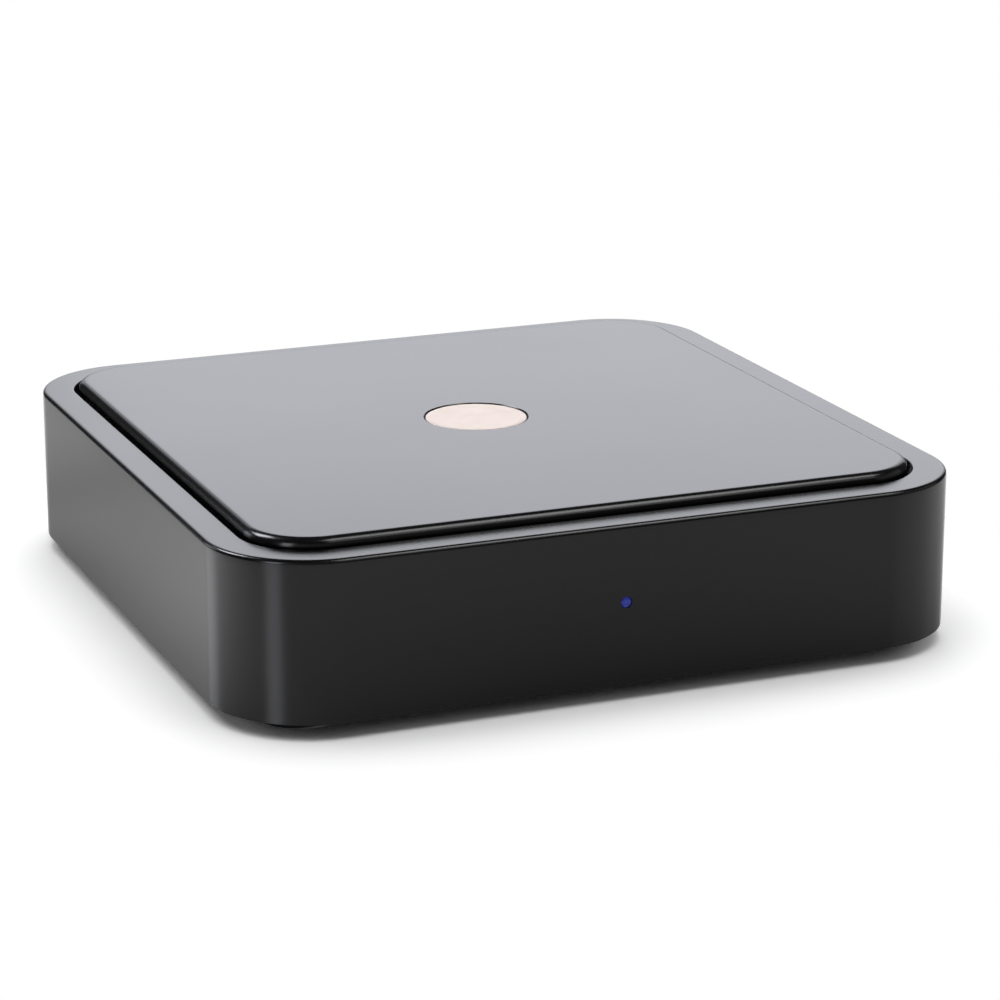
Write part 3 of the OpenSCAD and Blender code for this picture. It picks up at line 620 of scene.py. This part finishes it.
shell_low, shell_high = node_box("outer_shell")
shell_middle = (shell_low + shell_high) / 2
badge_low, badge_high = node_box("badge")
badge_middle = (badge_low + badge_high) / 2
light_low, light_high = node_box("light_pipe")
light_middle = (light_low + light_high) / 2
panel_low, panel_high = node_box("rear_panel")
barrel_low, barrel_high = node_box("phono_barrels")
SHELL_W, SHELL_D = shell_high.x - shell_low.x, shell_high.y - shell_low.y
SHELL_Z0, RIM_Z = shell_low.z, shell_high.z
COVER_Z0 = node_box("base_cover")[0].z
COVER_Z1 = COVER_Z0 + COVER_T
PLATE_Z1 = node_box("top_plate")[1].z
BADGE_R = (badge_high.x - badge_low.x) / 2
SOCKET_Z = (barrel_low.z + barrel_high.z) / 2
CORNER_STEPS = 28
WINDOW_STEPS = 10


def shell_form(name, section):
    """A closed skin: each (inset, height) of the section is a level with the shell's outline moved in."""
    rings = []
    for inset, height in section:
        outline = rounded_outline(SHELL_W - 2 * inset, SHELL_D - 2 * inset, CORNER_R - inset, CORNER_STEPS)
        rings.append([mm(shell_middle.x + x, shell_middle.y + y, height) for x, y in outline])
    return lofted(name, rings)


def outer_shell():
    """A wall ring with a rounded rim and a sunk deck, open below, with a rear window and a light hole."""
    deck_z1, edge_z = RIM_Z - RECESS_DEPTH, RIM_Z - RIM_EDGE_R
    # Loops this far in from the edges keep the shading of the flats even.
    wall_loop, rim_loop = 1.0, 0.4
    section = [
        (WALL, deck_z1 - DECK_T), (WALL, COVER_Z1), (SEAT_WALL, COVER_Z1), (SEAT_WALL, SHELL_Z0),
        (0.0, SHELL_Z0), (0.0, SHELL_Z0 + wall_loop), (0.0, edge_z - wall_loop),
    ]
    section += quarter_round((0.0, edge_z), (RIM_EDGE_R, RIM_Z), (RIM_EDGE_R, edge_z), 8)
    section += [(RIM_EDGE_R + rim_loop, RIM_Z), (RIM_W - rim_loop, RIM_Z)]
    inner, inner_z = RIM_W - RIM_INNER_R, RIM_Z - RIM_INNER_R
    section += quarter_round((inner, RIM_Z), (RIM_W, inner_z), (inner, inner_z), 4)
    section += [(RIM_W, deck_z1)]
    shell = shell_form("outer_shell_skin", section)

    outline = rounded_outline(WINDOW_W, WINDOW_H, WINDOW_R, WINDOW_STEPS)
    rear = shell_high.y
    rings = []
    for y, grow in ((rear - WALL - 0.8, 0.0), (rear - 0.35, 0.0), (rear - 0.1, 0.1), (rear + PAST, 1.2)):
        ratio_x, ratio_z = 1 + 2 * grow / WINDOW_W, 1 + 2 * grow / WINDOW_H
        rings.append([mm(shell_middle.x + x * ratio_x, y, SOCKET_Z + z * ratio_z) for x, z in outline])
    cut(shell, lofted("rear_window_cutter", rings))

    hole_r, hole_end, lead_in = LIGHT_R + 0.05, WALL + 1.6, 0.8
    hole = [(0, 0), (hole_r + 0.2, 0), (hole_r, lead_in + 0.1), (hole_r, hole_end), (0, hole_end)]
    foot = (light_middle.x, shell_low.y - lead_in, light_middle.z)
    cut(shell, turned("light_hole_cutter", hole, foot, Y_AXIS, 48))
    shade(shell, 32)
    fit_out(shell, HOUSING, SHELL_BLACK, "outer_shell")


def top_plate():
    """A plate with a rounded upper edge and a pocket for the badge."""
    bottom, edge_z = PLATE_Z1 - PLATE_T, PLATE_Z1 - PLATE_EDGE_R
    inner = PLATE_INSET + PLATE_EDGE_R
    section = [(PLATE_INSET + 0.2, bottom), (PLATE_INSET, bottom + 0.2), (PLATE_INSET, bottom + 0.8)]
    section += quarter_round((PLATE_INSET, edge_z), (inner, PLATE_Z1), (inner, edge_z), 14)
    section += [(inner + 0.5, PLATE_Z1), (inner + 1.5, PLATE_Z1)]
    plate = shell_form("top_plate_skin", section)

    radius, depth, chamfer = BADGE_R + BADGE_GAP, PLATE_Z1 - badge_low.z, 0.12
    pocket = [
        (0, 0), (radius, 0), (radius, depth - chamfer), (radius + chamfer, depth),
        (radius + chamfer, depth + PAST), (0, depth + PAST),
    ]
    foot = (badge_middle.x, badge_middle.y, badge_low.z)
    cut(plate, turned("badge_pocket_cutter", pocket, foot, Z_AXIS, 128))
    shade(plate, 32)
    fit_out(plate, HOUSING, PLATE_BLACK, "top_plate")


def badge():
    """A disc with a rounded edge and a face that is dished by a hair."""
    depth = badge_high.z - badge_low.z
    edge, dish = 0.16, 0.016
    section = [
        (0, 0), (BADGE_R, 0), (BADGE_R, depth - edge), (BADGE_R - 0.05, depth - 0.05),
        (BADGE_R - edge, depth), (BADGE_R - 0.9, depth - dish / 4), (BADGE_R / 2, depth - dish * 3 / 4),
        (0, depth - dish),
    ]
    disc = turned("badge_disc", section, (badge_middle.x, badge_middle.y, badge_low.z), Z_AXIS, 128)
    shade(disc, 30)
    finish = rose_badge_material(mm(badge_middle.x, badge_middle.y, badge_high.z))
    fit_out(disc, HOUSING, finish, "badge")


def status_light():
    """A light pipe with a slightly domed face and a flange behind the wall."""
    length = light_high.y - light_low.y
    flange_end = WALL + LIGHT_FLANGE_T
    section = [
        (0, 0.0), (0.55, 0.02), (0.85, 0.08), (LIGHT_R, 0.2), (LIGHT_R, WALL), (LIGHT_FLANGE_R, WALL),
        (LIGHT_FLANGE_R, flange_end), (LIGHT_R, flange_end), (LIGHT_R, length), (0, length),
    ]
    foot = (light_middle.x, light_low.y, light_middle.z)
    lens = turned("status_light_lens", section, foot, Y_AXIS, 64)
    shade(lens, 35)
    fit_out(lens, HOUSING, status_light_material(light_middle * MM), "light_pipe")


def base_cover():
    """A flat cover with a rounded lower edge and two rows of vents with chamfered mouths."""
    section = [
        (COVER_INSET + 0.25, COVER_Z0), (COVER_INSET + 0.07, COVER_Z0 + 0.07), (COVER_INSET, COVER_Z0 + 0.25),
        (COVER_INSET, COVER_Z1),
    ]
    cover = shell_form("base_cover_skin", section)
    chamfer = 0.3
    # The end rounds stop short of half the width, so that no two points of an outline meet.
    short = 0.001
    levels = [
        (COVER_Z0 - PAST, PAST + chamfer), (COVER_Z0, chamfer), (COVER_Z0 + chamfer, 0.0),
        (COVER_Z1 + PAST, 0.0),
    ]
    rings = []
    for z, grow in levels:
        outline = rounded_outline(VENT_W + 2 * grow, VENT_L + 2 * grow, VENT_W / 2 + grow - short, 6)
        rings.append([mm(x, y, z) for x, y in outline])
    vents = lofted("vent_cutter", rings)
    first_x = shell_middle.x - (VENT_COLUMNS - 1) / 2 * VENT_COLUMN_STEP
    first_y = shell_middle.y - (VENT_ROWS - 1) / 2 * VENT_ROW_STEP
    first = (first_x, first_y, 0)
    set_out(vents, VENT_COLUMNS, VENT_COLUMN_STEP, VENT_ROWS, VENT_ROW_STEP, first, BASE_BLACK)
    cut(cover, vents)
    shade(cover, 32)
    fit_out(cover, HOUSING, BASE_BLACK, "base_cover")


def rubber_feet():
    """Round feet with a hollow middle and a ring groove in the tread."""
    low, high = node_box("rubber_feet")
    height = high.z - low.z
    tread = FOOT_R - FOOT_EDGE_R
    section = [
        (0, FOOT_GROOVE), (2.6, FOOT_GROOVE), (2.8, 0.0), (4.6, 0.0), (4.8, FOOT_GROOVE), (5.6, FOOT_GROOVE),
        (5.8, 0.0),
    ]
    section += quarter_round((tread, 0.0), (FOOT_R, FOOT_EDGE_R), (tread, FOOT_EDGE_R), 6)
    section += [(FOOT_R, height - 0.15), (FOOT_R - 0.15, height), (0, height)]
    feet = turned("rubber_feet_skin", section, (0, 0, low.z), Z_AXIS, 72)
    step_x, step_y = high.x - low.x - 2 * FOOT_R, high.y - low.y - 2 * FOOT_R
    set_out(feet, 2, step_x, 2, step_y, (low.x + FOOT_R, low.y + FOOT_R, 0), FOOT_RUBBER)
    shade(feet, 35)
    fit_out(feet, HOUSING, FOOT_RUBBER, "rubber_feet")


# Rear panel and sockets

def rear_panel():
    """A flange behind the shell's window, with a pad that fills it and holes for the sockets and buttons."""
    panel = block("rear_panel_skin", panel_low, (panel_high.x, panel_low.y + FLANGE_T, panel_high.z))
    pad = rounded_outline(
        WINDOW_W - 2 * PANEL_GAP, WINDOW_H - 2 * PANEL_GAP, WINDOW_R - PANEL_GAP, WINDOW_STEPS,
    )
    levels = (panel_low.y + 0.5, panel_high.y)
    rings = [[mm(shell_middle.x + x, y, SOCKET_Z + z) for x, z in pad] for y in levels]
    join(panel, lofted("panel_pad", rings))

    y0, y1 = panel_low.y - PAST, panel_high.y + PAST
    bm = bmesh.new()
    for node, radius, steps in (
        ("phono_left_insulator", PHONO_COLLAR_R + SOCKET_GAP, 64),
        ("phono_right_insulator", PHONO_COLLAR_R + SOCKET_GAP, 64),
        ("aux_jack_body", AUX_NOSE_R + SOCKET_GAP, 64),
        ("power_jack_body", POWER_NOSE_R + SOCKET_GAP, 64),
        ("setup_button", BUTTON_R + SOCKET_GAP, 64),
        ("reset_plunger", PINHOLE_R, 40),
    ):
        bar = [(0, 0), (radius, 0), (radius, y1 - y0), (0, y1 - y0)]
        add_turned(bm, bar, (node_middle(node).x, y0, SOCKET_Z), Y_AXIS, steps)
    low, high = node_box("ethernet_jack_can")
    can_hole_low = (low.x - SOCKET_GAP, y0, low.z - SOCKET_GAP)
    add_block(bm, can_hole_low, (high.x + SOCKET_GAP, y1, high.z + SOCKET_GAP))
    x, half = node_middle("optical_jack_body").x, OPTICAL_W / 2 + SOCKET_GAP
    add_block(bm, (x - half, y0, SOCKET_Z - half), (x + half, y1, SOCKET_Z + half))
    cut(panel, mesh_object("socket_cutters", bm))
    soften(panel, 0.15)
    fit_out(panel, HOUSING, PANEL_BLACK, "rear_panel")


def phono_insulator(side, finish):
    """A moulded tube with a collar that stands in the panel and a narrower bore at its mouth."""
    node = f"phono_{side}_insulator"
    low, high = node_box(node)
    length = high.y - low.y
    collar = barrel_low.y - low.y
    back, bore_end = collar - PHONO_COLLAR_T, length - PHONO_BORE_DEPTH
    edge = 0.25
    section = [
        (PHONO_REAR_R, 0), (PHONO_CORE_R, 0), (PHONO_CORE_R, back), (PHONO_COLLAR_R, back),
        (PHONO_COLLAR_R, collar - edge), (PHONO_COLLAR_R - 0.08, collar - 0.07),
        (PHONO_COLLAR_R - edge, collar), (PHONO_CORE_R, collar), (PHONO_CORE_R, length - edge),
        (PHONO_CORE_R - edge, length), (PHONO_BORE_R + edge, length), (PHONO_BORE_R, length - edge),
        (PHONO_BORE_R, bore_end), (PHONO_REAR_R, bore_end),
    ]
    foot = ((low.x + high.x) / 2, low.y, SOCKET_Z)
    piece = turned(f"phono_{side}_moulding", section, foot, Y_AXIS, 72)
    shade(piece, 35)
    fit_out(piece, HOUSING, finish, node)


def phono_barrels():
    """Two plated barrels, each with a groove near the panel and a rounded mouth."""
    length = barrel_high.y - barrel_low.y
    outer, inner, groove = PHONO_BARREL_R, PHONO_CORE_R, PHONO_BARREL_R - 0.13
    section = [
        (inner, 0), (outer, 0), (outer, 0.9), (groove, 1.0), (groove, 1.3), (outer, 1.4),
        (outer, length - 0.7), (outer - 0.1, length - 0.35), (outer - 0.3, length - 0.08),
        (outer - 0.45, length), (inner + 0.15, length - 0.06), (inner, length - 0.2),
    ]
    left, right = node_middle("phono_left_insulator").x, node_middle("phono_right_insulator").x
    barrels = turned("phono_barrel_pair", section, (0, barrel_low.y, SOCKET_Z), Y_AXIS, 72)
    set_out(barrels, 2, left - right, 1, 0.0, (right, 0, 0), NICKEL)
    shade(barrels, 35)
    fit_out(barrels, HOUSING, NICKEL, "phono_barrels")


def turned_socket(node, piece_name, nose_r, bore_r, bore_depth):
    """A socket block on the board, with a turned and bored nose through the panel."""
    low, high = node_box(node)
    foot = ((low.x + high.x) / 2, panel_low.y - 1.0, SOCKET_Z)
    reach = high.y - foot[1]
    socket = block(piece_name, low, (high.x, panel_low.y, high.z))
    soften(socket, 0.25)
    edge, shoulder = 0.3, 0.09
    nose = [
        (0, 0), (nose_r, 0), (nose_r, reach - edge), (nose_r - shoulder, reach - shoulder),
        (nose_r - edge, reach), (0, reach),
    ]
    join(socket, turned("nose", nose, foot, Y_AXIS, 72))
    bore = [
        (0, reach - bore_depth), (bore_r, reach - bore_depth), (bore_r, reach - edge),
        (bore_r + shoulder, reach - shoulder), (bore_r + edge, reach), (bore_r + edge, reach + PAST),
        (0, reach + PAST),
    ]
    cut(socket, turned("bore", bore, foot, Y_AXIS, 72))
    shade(socket, 35)
    fit_out(socket, HOUSING, JACK_BLACK, node)


def power_pin():
    """A turned pin with a rounded tip."""
    low, high = node_box("power_centre_pin")
    radius, length = (high.x - low.x) / 2, high.y - low.y
    section = [
        (0, 0), (radius, 0), (radius, length - 0.7), (radius * 0.92, length - 0.35),
        (radius * 0.7, length - 0.1), (radius * 0.4, length), (0, length),
    ]
    pin = turned("power_pin_turned", section, ((low.x + high.x) / 2, low.y, SOCKET_Z), Y_AXIS, 48)
    shade(pin, 35)
    fit_out(pin, HOUSING, NICKEL, "power_centre_pin")


def ethernet_can():
    """A folded steel can, open behind and below, with a frame around the socket's mouth."""
    low, high = node_box("ethernet_jack_can")
    can = block("ethernet_can_shell", low, high)
    inside_low = (low.x + CAN_T, low.y - PAST, low.z - PAST)
    cut(can, block("can_inside_cutter", inside_low, (high.x - CAN_T, high.y - CAN_T, high.z - CAN_T)))
    mouth_low = (low.x + CAN_FRAME_W, low.y + 2, low.z + CAN_FRAME_W)
    mouth_high = (high.x - CAN_FRAME_W, high.y + PAST, high.z - CAN_FRAME_W)
    cut(can, block("can_mouth_cutter", mouth_low, mouth_high))
    soften(can, 0.14)
    fit_out(can, HOUSING, CAN_STEEL, "ethernet_jack_can")


def ethernet_insert():
    """The network socket's moulding, hollow for the plug and for its latch below."""
    low, high = node_box("ethernet_jack_insert")
    x, mouth = (low.x + high.x) / 2, high.y + PAST
    back, plug_z0 = high.y - PLUG_DEPTH, low.z + PLUG_RISE
    insert = block("ethernet_insert_moulding", low, high)
    plug_high = (x + PLUG_W / 2, mouth, plug_z0 + PLUG_H)
    cut(insert, block("plug_cutter", (x - PLUG_W / 2, back, plug_z0), plug_high))
    latch_high = (x + LATCH_W / 2, mouth, plug_z0 + PAST)
    cut(insert, block("latch_cutter", (x - LATCH_W / 2, back, plug_z0 - LATCH_H), latch_high))
    soften(insert, 0.2)
    fit_out(insert, HOUSING, JACK_BLACK, "ethernet_jack_insert")


def ethernet_contacts():
    """Sprung wires: each leaves the roof near the mouth and slopes into the socket."""
    low, high = node_box("ethernet_contacts")
    roof, mouth = high.z, high.y
    half_w, thick = 0.22, 0.3
    path = [(0.0, 0.0), (-0.5, -0.1), (-1.2, -0.5), (-7.6, -2.2), (-8.4, -2.3), (-9.0, -2.15)]
    rings = []
    for y, z in path:
        top = roof + z
        corners = ((-half_w, top), (half_w, top), (half_w, top - thick), (-half_w, top - thick))
        rings.append([mm(x, mouth + y, height) for x, height in corners])
    contacts = lofted("ethernet_spring_contacts", rings)
    step = (high.x - low.x - CONTACT_W) / (CONTACTS - 1)
    set_out(contacts, CONTACTS, step, 1, 0.0, (low.x + CONTACT_W / 2, 0, 0), GOLD)
    shade(contacts, 40)
    fit_out(contacts, HOUSING, GOLD, "ethernet_contacts")


def optical_body():
    """The optical socket's moulding, with a flared mouth and a cross bore for the flap's pins."""
    low, high = node_box("optical_jack_body")
    x, mouth, half = (low.x + high.x) / 2, high.y, OPTICAL_W / 2
    body_low = (x - half, low.y, SOCKET_Z - half)
    body = block("optical_socket_moulding", body_low, (x + half, mouth, SOCKET_Z + half))
    join(body, block("optical_foot", (x - half, low.y, low.z), (x + half, panel_low.y, SOCKET_Z)))
    soften(body, 0.2)
    flare = 0.3
    levels = [(mouth - OPTICAL_MOUTH_DEPTH, 0.0), (mouth - flare, 0.0), (mouth, flare), (mouth + PAST, flare)]
    corners = ((-1, -1), (1, -1), (1, 1), (-1, 1))
    rings = []
    for y, grow in levels:
        w, h = OPTICAL_MOUTH_W / 2 + grow, OPTICAL_MOUTH_H / 2 + grow
        rings.append([mm(x + sx * w, y, SOCKET_Z + sz * h) for sx, sz in corners])
    cut(body, lofted("optical_mouth", rings))
    low, high = node_box("optical_flap")
    spare = 0.05
    length = high.x - low.x + 2 * spare
    bore = [(0, 0), (FLAP_PIN_BORE_R, 0), (FLAP_PIN_BORE_R, length), (0, length)]
    foot = (low.x - spare, (low.y + high.y) / 2, high.z - (high.y - low.y) / 2)
    cut(body, turned("pin_bore", bore, foot, X_AXIS, 24))
    shade(body, 35)
    fit_out(body, HOUSING, JACK_BLACK, "optical_jack_body")


def optical_flap():
    """A flap with a shallow recess in its face, on a round upper edge that ends in two pins."""
    low, high = node_box("optical_flap")
    x, radius = (low.x + high.x) / 2, (high.y - low.y) / 2
    axle_y, axle_z = (low.y + high.y) / 2, high.z - radius
    flap = block("optical_flap_moulding", (x - FLAP_W / 2, low.y, low.z), (x + FLAP_W / 2, high.y, axle_z))
    recess_half, border, recess_depth = 2.4, 0.9, 0.2
    recess_low = (x - recess_half, high.y - recess_depth, low.z + border)
    cut(flap, block("flap_recess", recess_low, (x + recess_half, high.y + PAST, axle_z - border)))
    soften(flap, 0.12)
    edge = 0.08
    for size, length in ((radius, FLAP_W), (FLAP_PIN_R, high.x - low.x)):
        bar = [
            (0, 0), (size - edge, 0), (size, edge), (size, length - edge), (size - edge, length),
            (0, length),
        ]
        join(flap, turned("flap_axle", bar, (x - length / 2, axle_y, axle_z), X_AXIS, 32))
    shade(flap, 35)
    fit_out(flap, "optical_flap", FLAP_BLACK, "optical_flap")


def setup_button():
    """A button with a dished face, a flange behind the panel and a stem to the switch."""
    low, high = node_box("setup_button")
    length = high.y - low.y
    flange_end = panel_low.y - 0.1 - low.y
    flange_r, flange_start = (high.x - low.x) / 2, flange_end - BUTTON_FLANGE_T
    edge = 0.35
    section = [
        (0, 0), (BUTTON_STEM_R, 0), (BUTTON_STEM_R, flange_start), (flange_r, flange_start),
        (flange_r, flange_end), (BUTTON_R, flange_end), (BUTTON_R, length - edge),
        (BUTTON_R - 0.1, length - 0.1), (BUTTON_R - edge, length), (BUTTON_R - 0.9, length - 0.03),
        (BUTTON_R * 0.4, length - 0.12), (0, length - 0.14),
    ]
    button = turned("setup_button_cap", section, ((low.x + high.x) / 2, low.y, SOCKET_Z), Y_AXIS, 64)
    shade(button, 35)
    fit_out(button, "setup_button", BUTTON_BLACK, "setup_button")


outer_shell()
top_plate()
badge()
status_light()
base_cover()
rubber_feet()
rear_panel()
phono_insulator("left", PHONO_WHITE)
phono_insulator("right", PHONO_RED)
phono_barrels()
turned_socket("aux_jack_body", "aux_socket_moulding", AUX_NOSE_R, AUX_BORE_R, AUX_BORE_DEPTH)
turned_socket("power_jack_body", "power_socket_moulding", POWER_NOSE_R, POWER_BORE_R, POWER_BORE_DEPTH)
power_pin()
ethernet_can()
ethernet_insert()
ethernet_contacts()
optical_body()
optical_flap()
setup_button()

# CAD nodes that keep their own shape and get a finish.
CAD_FINISHES = {
    TAPE_GREY: ["top_plate_tape"],
    SCREW_STEEL: ["cover_screws", "board_screws"],
    SOLDER_MASK: ["main_board", "radio_module"],
    CAN_STEEL: ["radio_shield_can", "crystal"],
    GOLD: ["phono_centre_contacts", "aerial_plugs"],
    JACK_BLACK: ["phono_jack_block", "setup_switch", "reset_switch", "led_holder", "radio_header"],
    PALE_PLUNGER: ["setup_plunger", "reset_plunger"],
    LENS_RED: ["optical_emitter"],
    LED_CLEAR: ["status_led"],
    FILM_BROWN: ["aerial_left", "aerial_right"],
    LEAD_GREY: ["aerial_leads"],
    CHIP_BLACK: ["network_transformer", "converter_chip", "memory_chip", "voltage_regulator"],
    FERRITE_GREY: ["power_inductor"],
    CAP_BLUE: ["capacitors"],
}
for finish, names in CAD_FINISHES.items():
    for name in names:
        node = frame["nodes"][name]
        node.data.materials.clear()
        node.data.materials.append(finish)


# Floor, lights and camera, in metres

FLOOR_REACH = 6.0
# The paper turns from lit to plain white between these distances from the part's walls.
SHADOW_START, SHADOW_END = 0.004, 0.034
# Under the part, further than this inside its walls, the table lets first-bounce rays through.
PANE_INSET = 0.0063
CAMERA_AZIMUTH = math.radians(-22.11)
CAMERA_ELEVATION = math.radians(16.63)
CAMERA_PLACE = (-0.23245, -0.58827, 0.20484)
CAMERA_LENS, SENSOR_W = 123.96, 36.0


def distance_from_walls(tree, place):
    """Distance on the floor from the shell's rounded outline, below zero inside it."""
    middle = (shell_middle.x * MM, shell_middle.y * MM, 0)
    core = ((SHELL_W / 2 - CORNER_R) * MM, (SHELL_D / 2 - CORNER_R) * MM, 0)
    offset = vector_node(tree, "ABSOLUTE", vector_node(tree, "SUBTRACT", place, middle))
    beyond = vector_node(tree, "MAXIMUM", vector_node(tree, "SUBTRACT", offset, core))
    return math_node(tree, "SUBTRACT", vector_node(tree, "LENGTH", beyond), CORNER_R * MM)


def table_shader(tree, place):
    """The table as the part sees it: half-gloss, with painted shade darker near the part, a painted pool of
    light by the left wall, and painted dark far away.
    """
    matte, gloss = tree.nodes.new("ShaderNodeBsdfDiffuse"), tree.nodes.new("ShaderNodeBsdfGlossy")
    reach = vector_node(tree, "LENGTH", place)
    # Painted shadow: the table's colour is darker close to the part.
    under = remap(tree, reach, 0.075, 0.16, 0.55, 1.15)
    # Painted pool of light: the table's colour is paler in a patch by the left wall.
    painted_light_pool = remap(tree, vector_node(tree, "DISTANCE", place, (-0.13, -0.01, 0)), 0.02, 0.11, 1.35, 0.0)
    # Painted shade: the matte and gloss colours grow dark far from the part.
    lit = remap(tree, reach, 0.25, 0.5, 1.0, 0.04)
    tone = math_node(tree, "MULTIPLY", math_node(tree, "ADD", under, painted_light_pool), lit)
    tree.links.new(tone, matte.inputs["Color"])
    tree.links.new(lit, gloss.inputs["Color"])
    gloss.inputs["Roughness"].default_value = 0.14
    return mix_shaders(tree, 0.35, matte.outputs["BSDF"], gloss.outputs["BSDF"])


def floor():
    """A white table that keeps the part's shadow, and turns plain white to the camera a little way off.

    It is open from below, and under the part for the first bounce, so that the underside is lit from below.
    """
    bm = bmesh.new()
    bmesh.ops.create_grid(bm, x_segments=1, y_segments=1, size=FLOOR_REACH)
    ground = mesh_object("floor", bm)
    material = bpy.data.materials.new("white table")
    material.use_nodes = True
    tree = material.node_tree
    tree.nodes.clear()
    node = tree.nodes.new
    place = object_place(tree)
    away = distance_from_walls(tree, place)
    paper = node("ShaderNodeBsdfDiffuse")
    paper.inputs["Color"].default_value = rgba(1.3, 1.3, 1.3)
    white = node("ShaderNodeEmission").outputs["Emission"]
    share = remap(tree, away, SHADOW_START, SHADOW_END, 0.0, 1.0)
    seen = mix_shaders(tree, share, paper.outputs["BSDF"], white)
    path = node("ShaderNodeLightPath").outputs
    top = mix_shaders(tree, path["Is Camera Ray"], table_shader(tree, place), seen)
    early = math_node(tree, "LESS_THAN", path["Ray Depth"], 1.5)
    first_bounce = math_node(tree, "SUBTRACT", early, path["Is Camera Ray"])
    pane = math_node(tree, "MULTIPLY", math_node(tree, "LESS_THAN", away, -PANE_INSET), first_bounce)
    opening = math_node(tree, "MAXIMUM", node("ShaderNodeNewGeometry").outputs["Backfacing"], pane)
    whole = mix_shaders(tree, opening, top, node("ShaderNodeBsdfTransparent").outputs["BSDF"])
    tree.links.new(whole, node("ShaderNodeOutputMaterial").inputs["Surface"])
    ground.data.materials.append(material)


def background(tree, tone):
    node = tree.nodes.new("ShaderNodeBackground")
    node.inputs["Color"].default_value = rgba(*tone)
    return node.outputs["Background"]


def world():
    """A dim room that is white to the camera and darker in reflections."""
    sky = bpy.data.worlds.new("studio")
    scene.world = sky
    sky.use_nodes = True
    tree = sky.node_tree
    tree.nodes.clear()
    path = tree.nodes.new("ShaderNodeLightPath").outputs
    room, dim = background(tree, (0.1, 0.1, 0.102)), background(tree, (0.05, 0.05, 0.051))
    mirrored = mix_shaders(tree, path["Is Glossy Ray"], room, dim)
    seen = mix_shaders(tree, path["Is Camera Ray"], mirrored, background(tree, (1, 1, 1)))
    tree.links.new(seen, tree.nodes.new("ShaderNodeOutputWorld").inputs["Surface"])


def camera():
    away = Vector((
        math.sin(CAMERA_AZIMUTH) * math.cos(CAMERA_ELEVATION),
        -math.cos(CAMERA_AZIMUTH) * math.cos(CAMERA_ELEVATION),
        math.sin(CAMERA_ELEVATION),
    ))
    right = Vector((math.cos(CAMERA_AZIMUTH), math.sin(CAMERA_AZIMUTH), 0))
    up = away.cross(right)
    lens = bpy.data.cameras.new("camera")
    lens.sensor_width = SENSOR_W
    lens.lens = CAMERA_LENS
    obj = bpy.data.objects.new("camera", lens)
    scene.collection.objects.link(obj)
    turn = Matrix((right, up, away)).transposed().to_4x4()
    obj.matrix_world = Matrix.Translation(CAMERA_PLACE) @ turn
    scene.camera = obj


def around(turn, distance, height):
    """A place about the part: turn is in degrees leftwards from behind it, as the camera sees it."""
    angle = math.pi / 2 + CAMERA_AZIMUTH + math.radians(turn)
    return Vector((distance * math.cos(angle), distance * math.sin(angle), height))


def softbox(name, place, target, width, height, radiance, tint=(1, 1, 1), sheen=True, body=True):
    """An even area lamp that faces a target; it lights reflections (sheen), matte faces (body) or both."""
    lamp = bpy.data.lights.new(name, "AREA")
    lamp.shape = "RECTANGLE"
    lamp.size, lamp.size_y = width, height
    lamp.energy = radiance * math.pi * width * height
    lamp.color = tint
    obj = bpy.data.objects.new(name, lamp)
    scene.collection.objects.link(obj)
    facing = Vector(place) - Vector(target)
    obj.matrix_world = Matrix.Translation(place) @ facing.to_track_quat("Z", "Y").to_matrix().to_4x4()
    obj.visible_camera = False
    obj.visible_diffuse = body
    obj.visible_glossy = sheen


floor()
world()
camera()
COOL = (0.92, 0.935, 1.0)
softbox("rear_panel_wide", around(-1, 1.3, 0.44), (0, 0, 0.1), 1.42, 0.78, 0.95, COOL)
softbox("rear_panel_inner", around(-4, 1.25, 0.46), (0, 0, 0.1), 0.96, 0.52, 0.75, COOL)
softbox("rear_panel_middle", around(-3, 1.2, 0.44), (0, 0, 0.1), 0.6, 0.32, 0.63, COOL)
softbox("front_left_light", around(146, 1.0, 0.35), (0, 0, 0.1), 0.26, 0.6, 4.4, COOL, body=False)
softbox("key_light", (0.45, -0.38, 1.1), (0, 0, 0), 0.55, 0.45, 6.0, body=False)
softbox("key_spill", (0.5, -0.85, 0.95), (0, 0, 0), 0.55, 0.5, 1.5, body=False)
softbox("upper_left_light", (-0.6, 0.56, 0.86), (0, 0, 0), 0.42, 0.46, 16.0, COOL, body=False)
softbox("rear_left_light", around(64, 1.1, 0.26), (0, 0, 0), 0.4, 0.36, 2.2, COOL, body=False)
softbox("front_sheen", around(180, 1.5, 0.5), (0, 0, 0.05), 2.6, 0.8, 0.25, body=False)
softbox("right_sheen", around(270, 1.4, 0.48), (0, 0, 0.05), 1.6, 0.8, 0.3, body=False)
softbox("left_table_light", (-1.0, 0.25, 0.42), (0, 0, 0), 0.8, 0.35, 1.5, sheen=False)
softbox("right_table_light", (1.0, 0.25, 0.42), (0, 0, 0), 0.8, 0.35, 3.1, sheen=False)
softbox("front_fill", (0.55, -0.85, 0.62), (0, 0, 0), 0.9, 0.5, 0.65, sheen=False)
softbox("overhead_light", (-0.25, 0.15, 1.2), (-0.25, 0.15, 0), 1.8, 1.8, 1.75, sheen=False)
softbox("underside_light", (0, 0, -0.5), (0, 0, 0), 2.4, 2.4, 1.0)
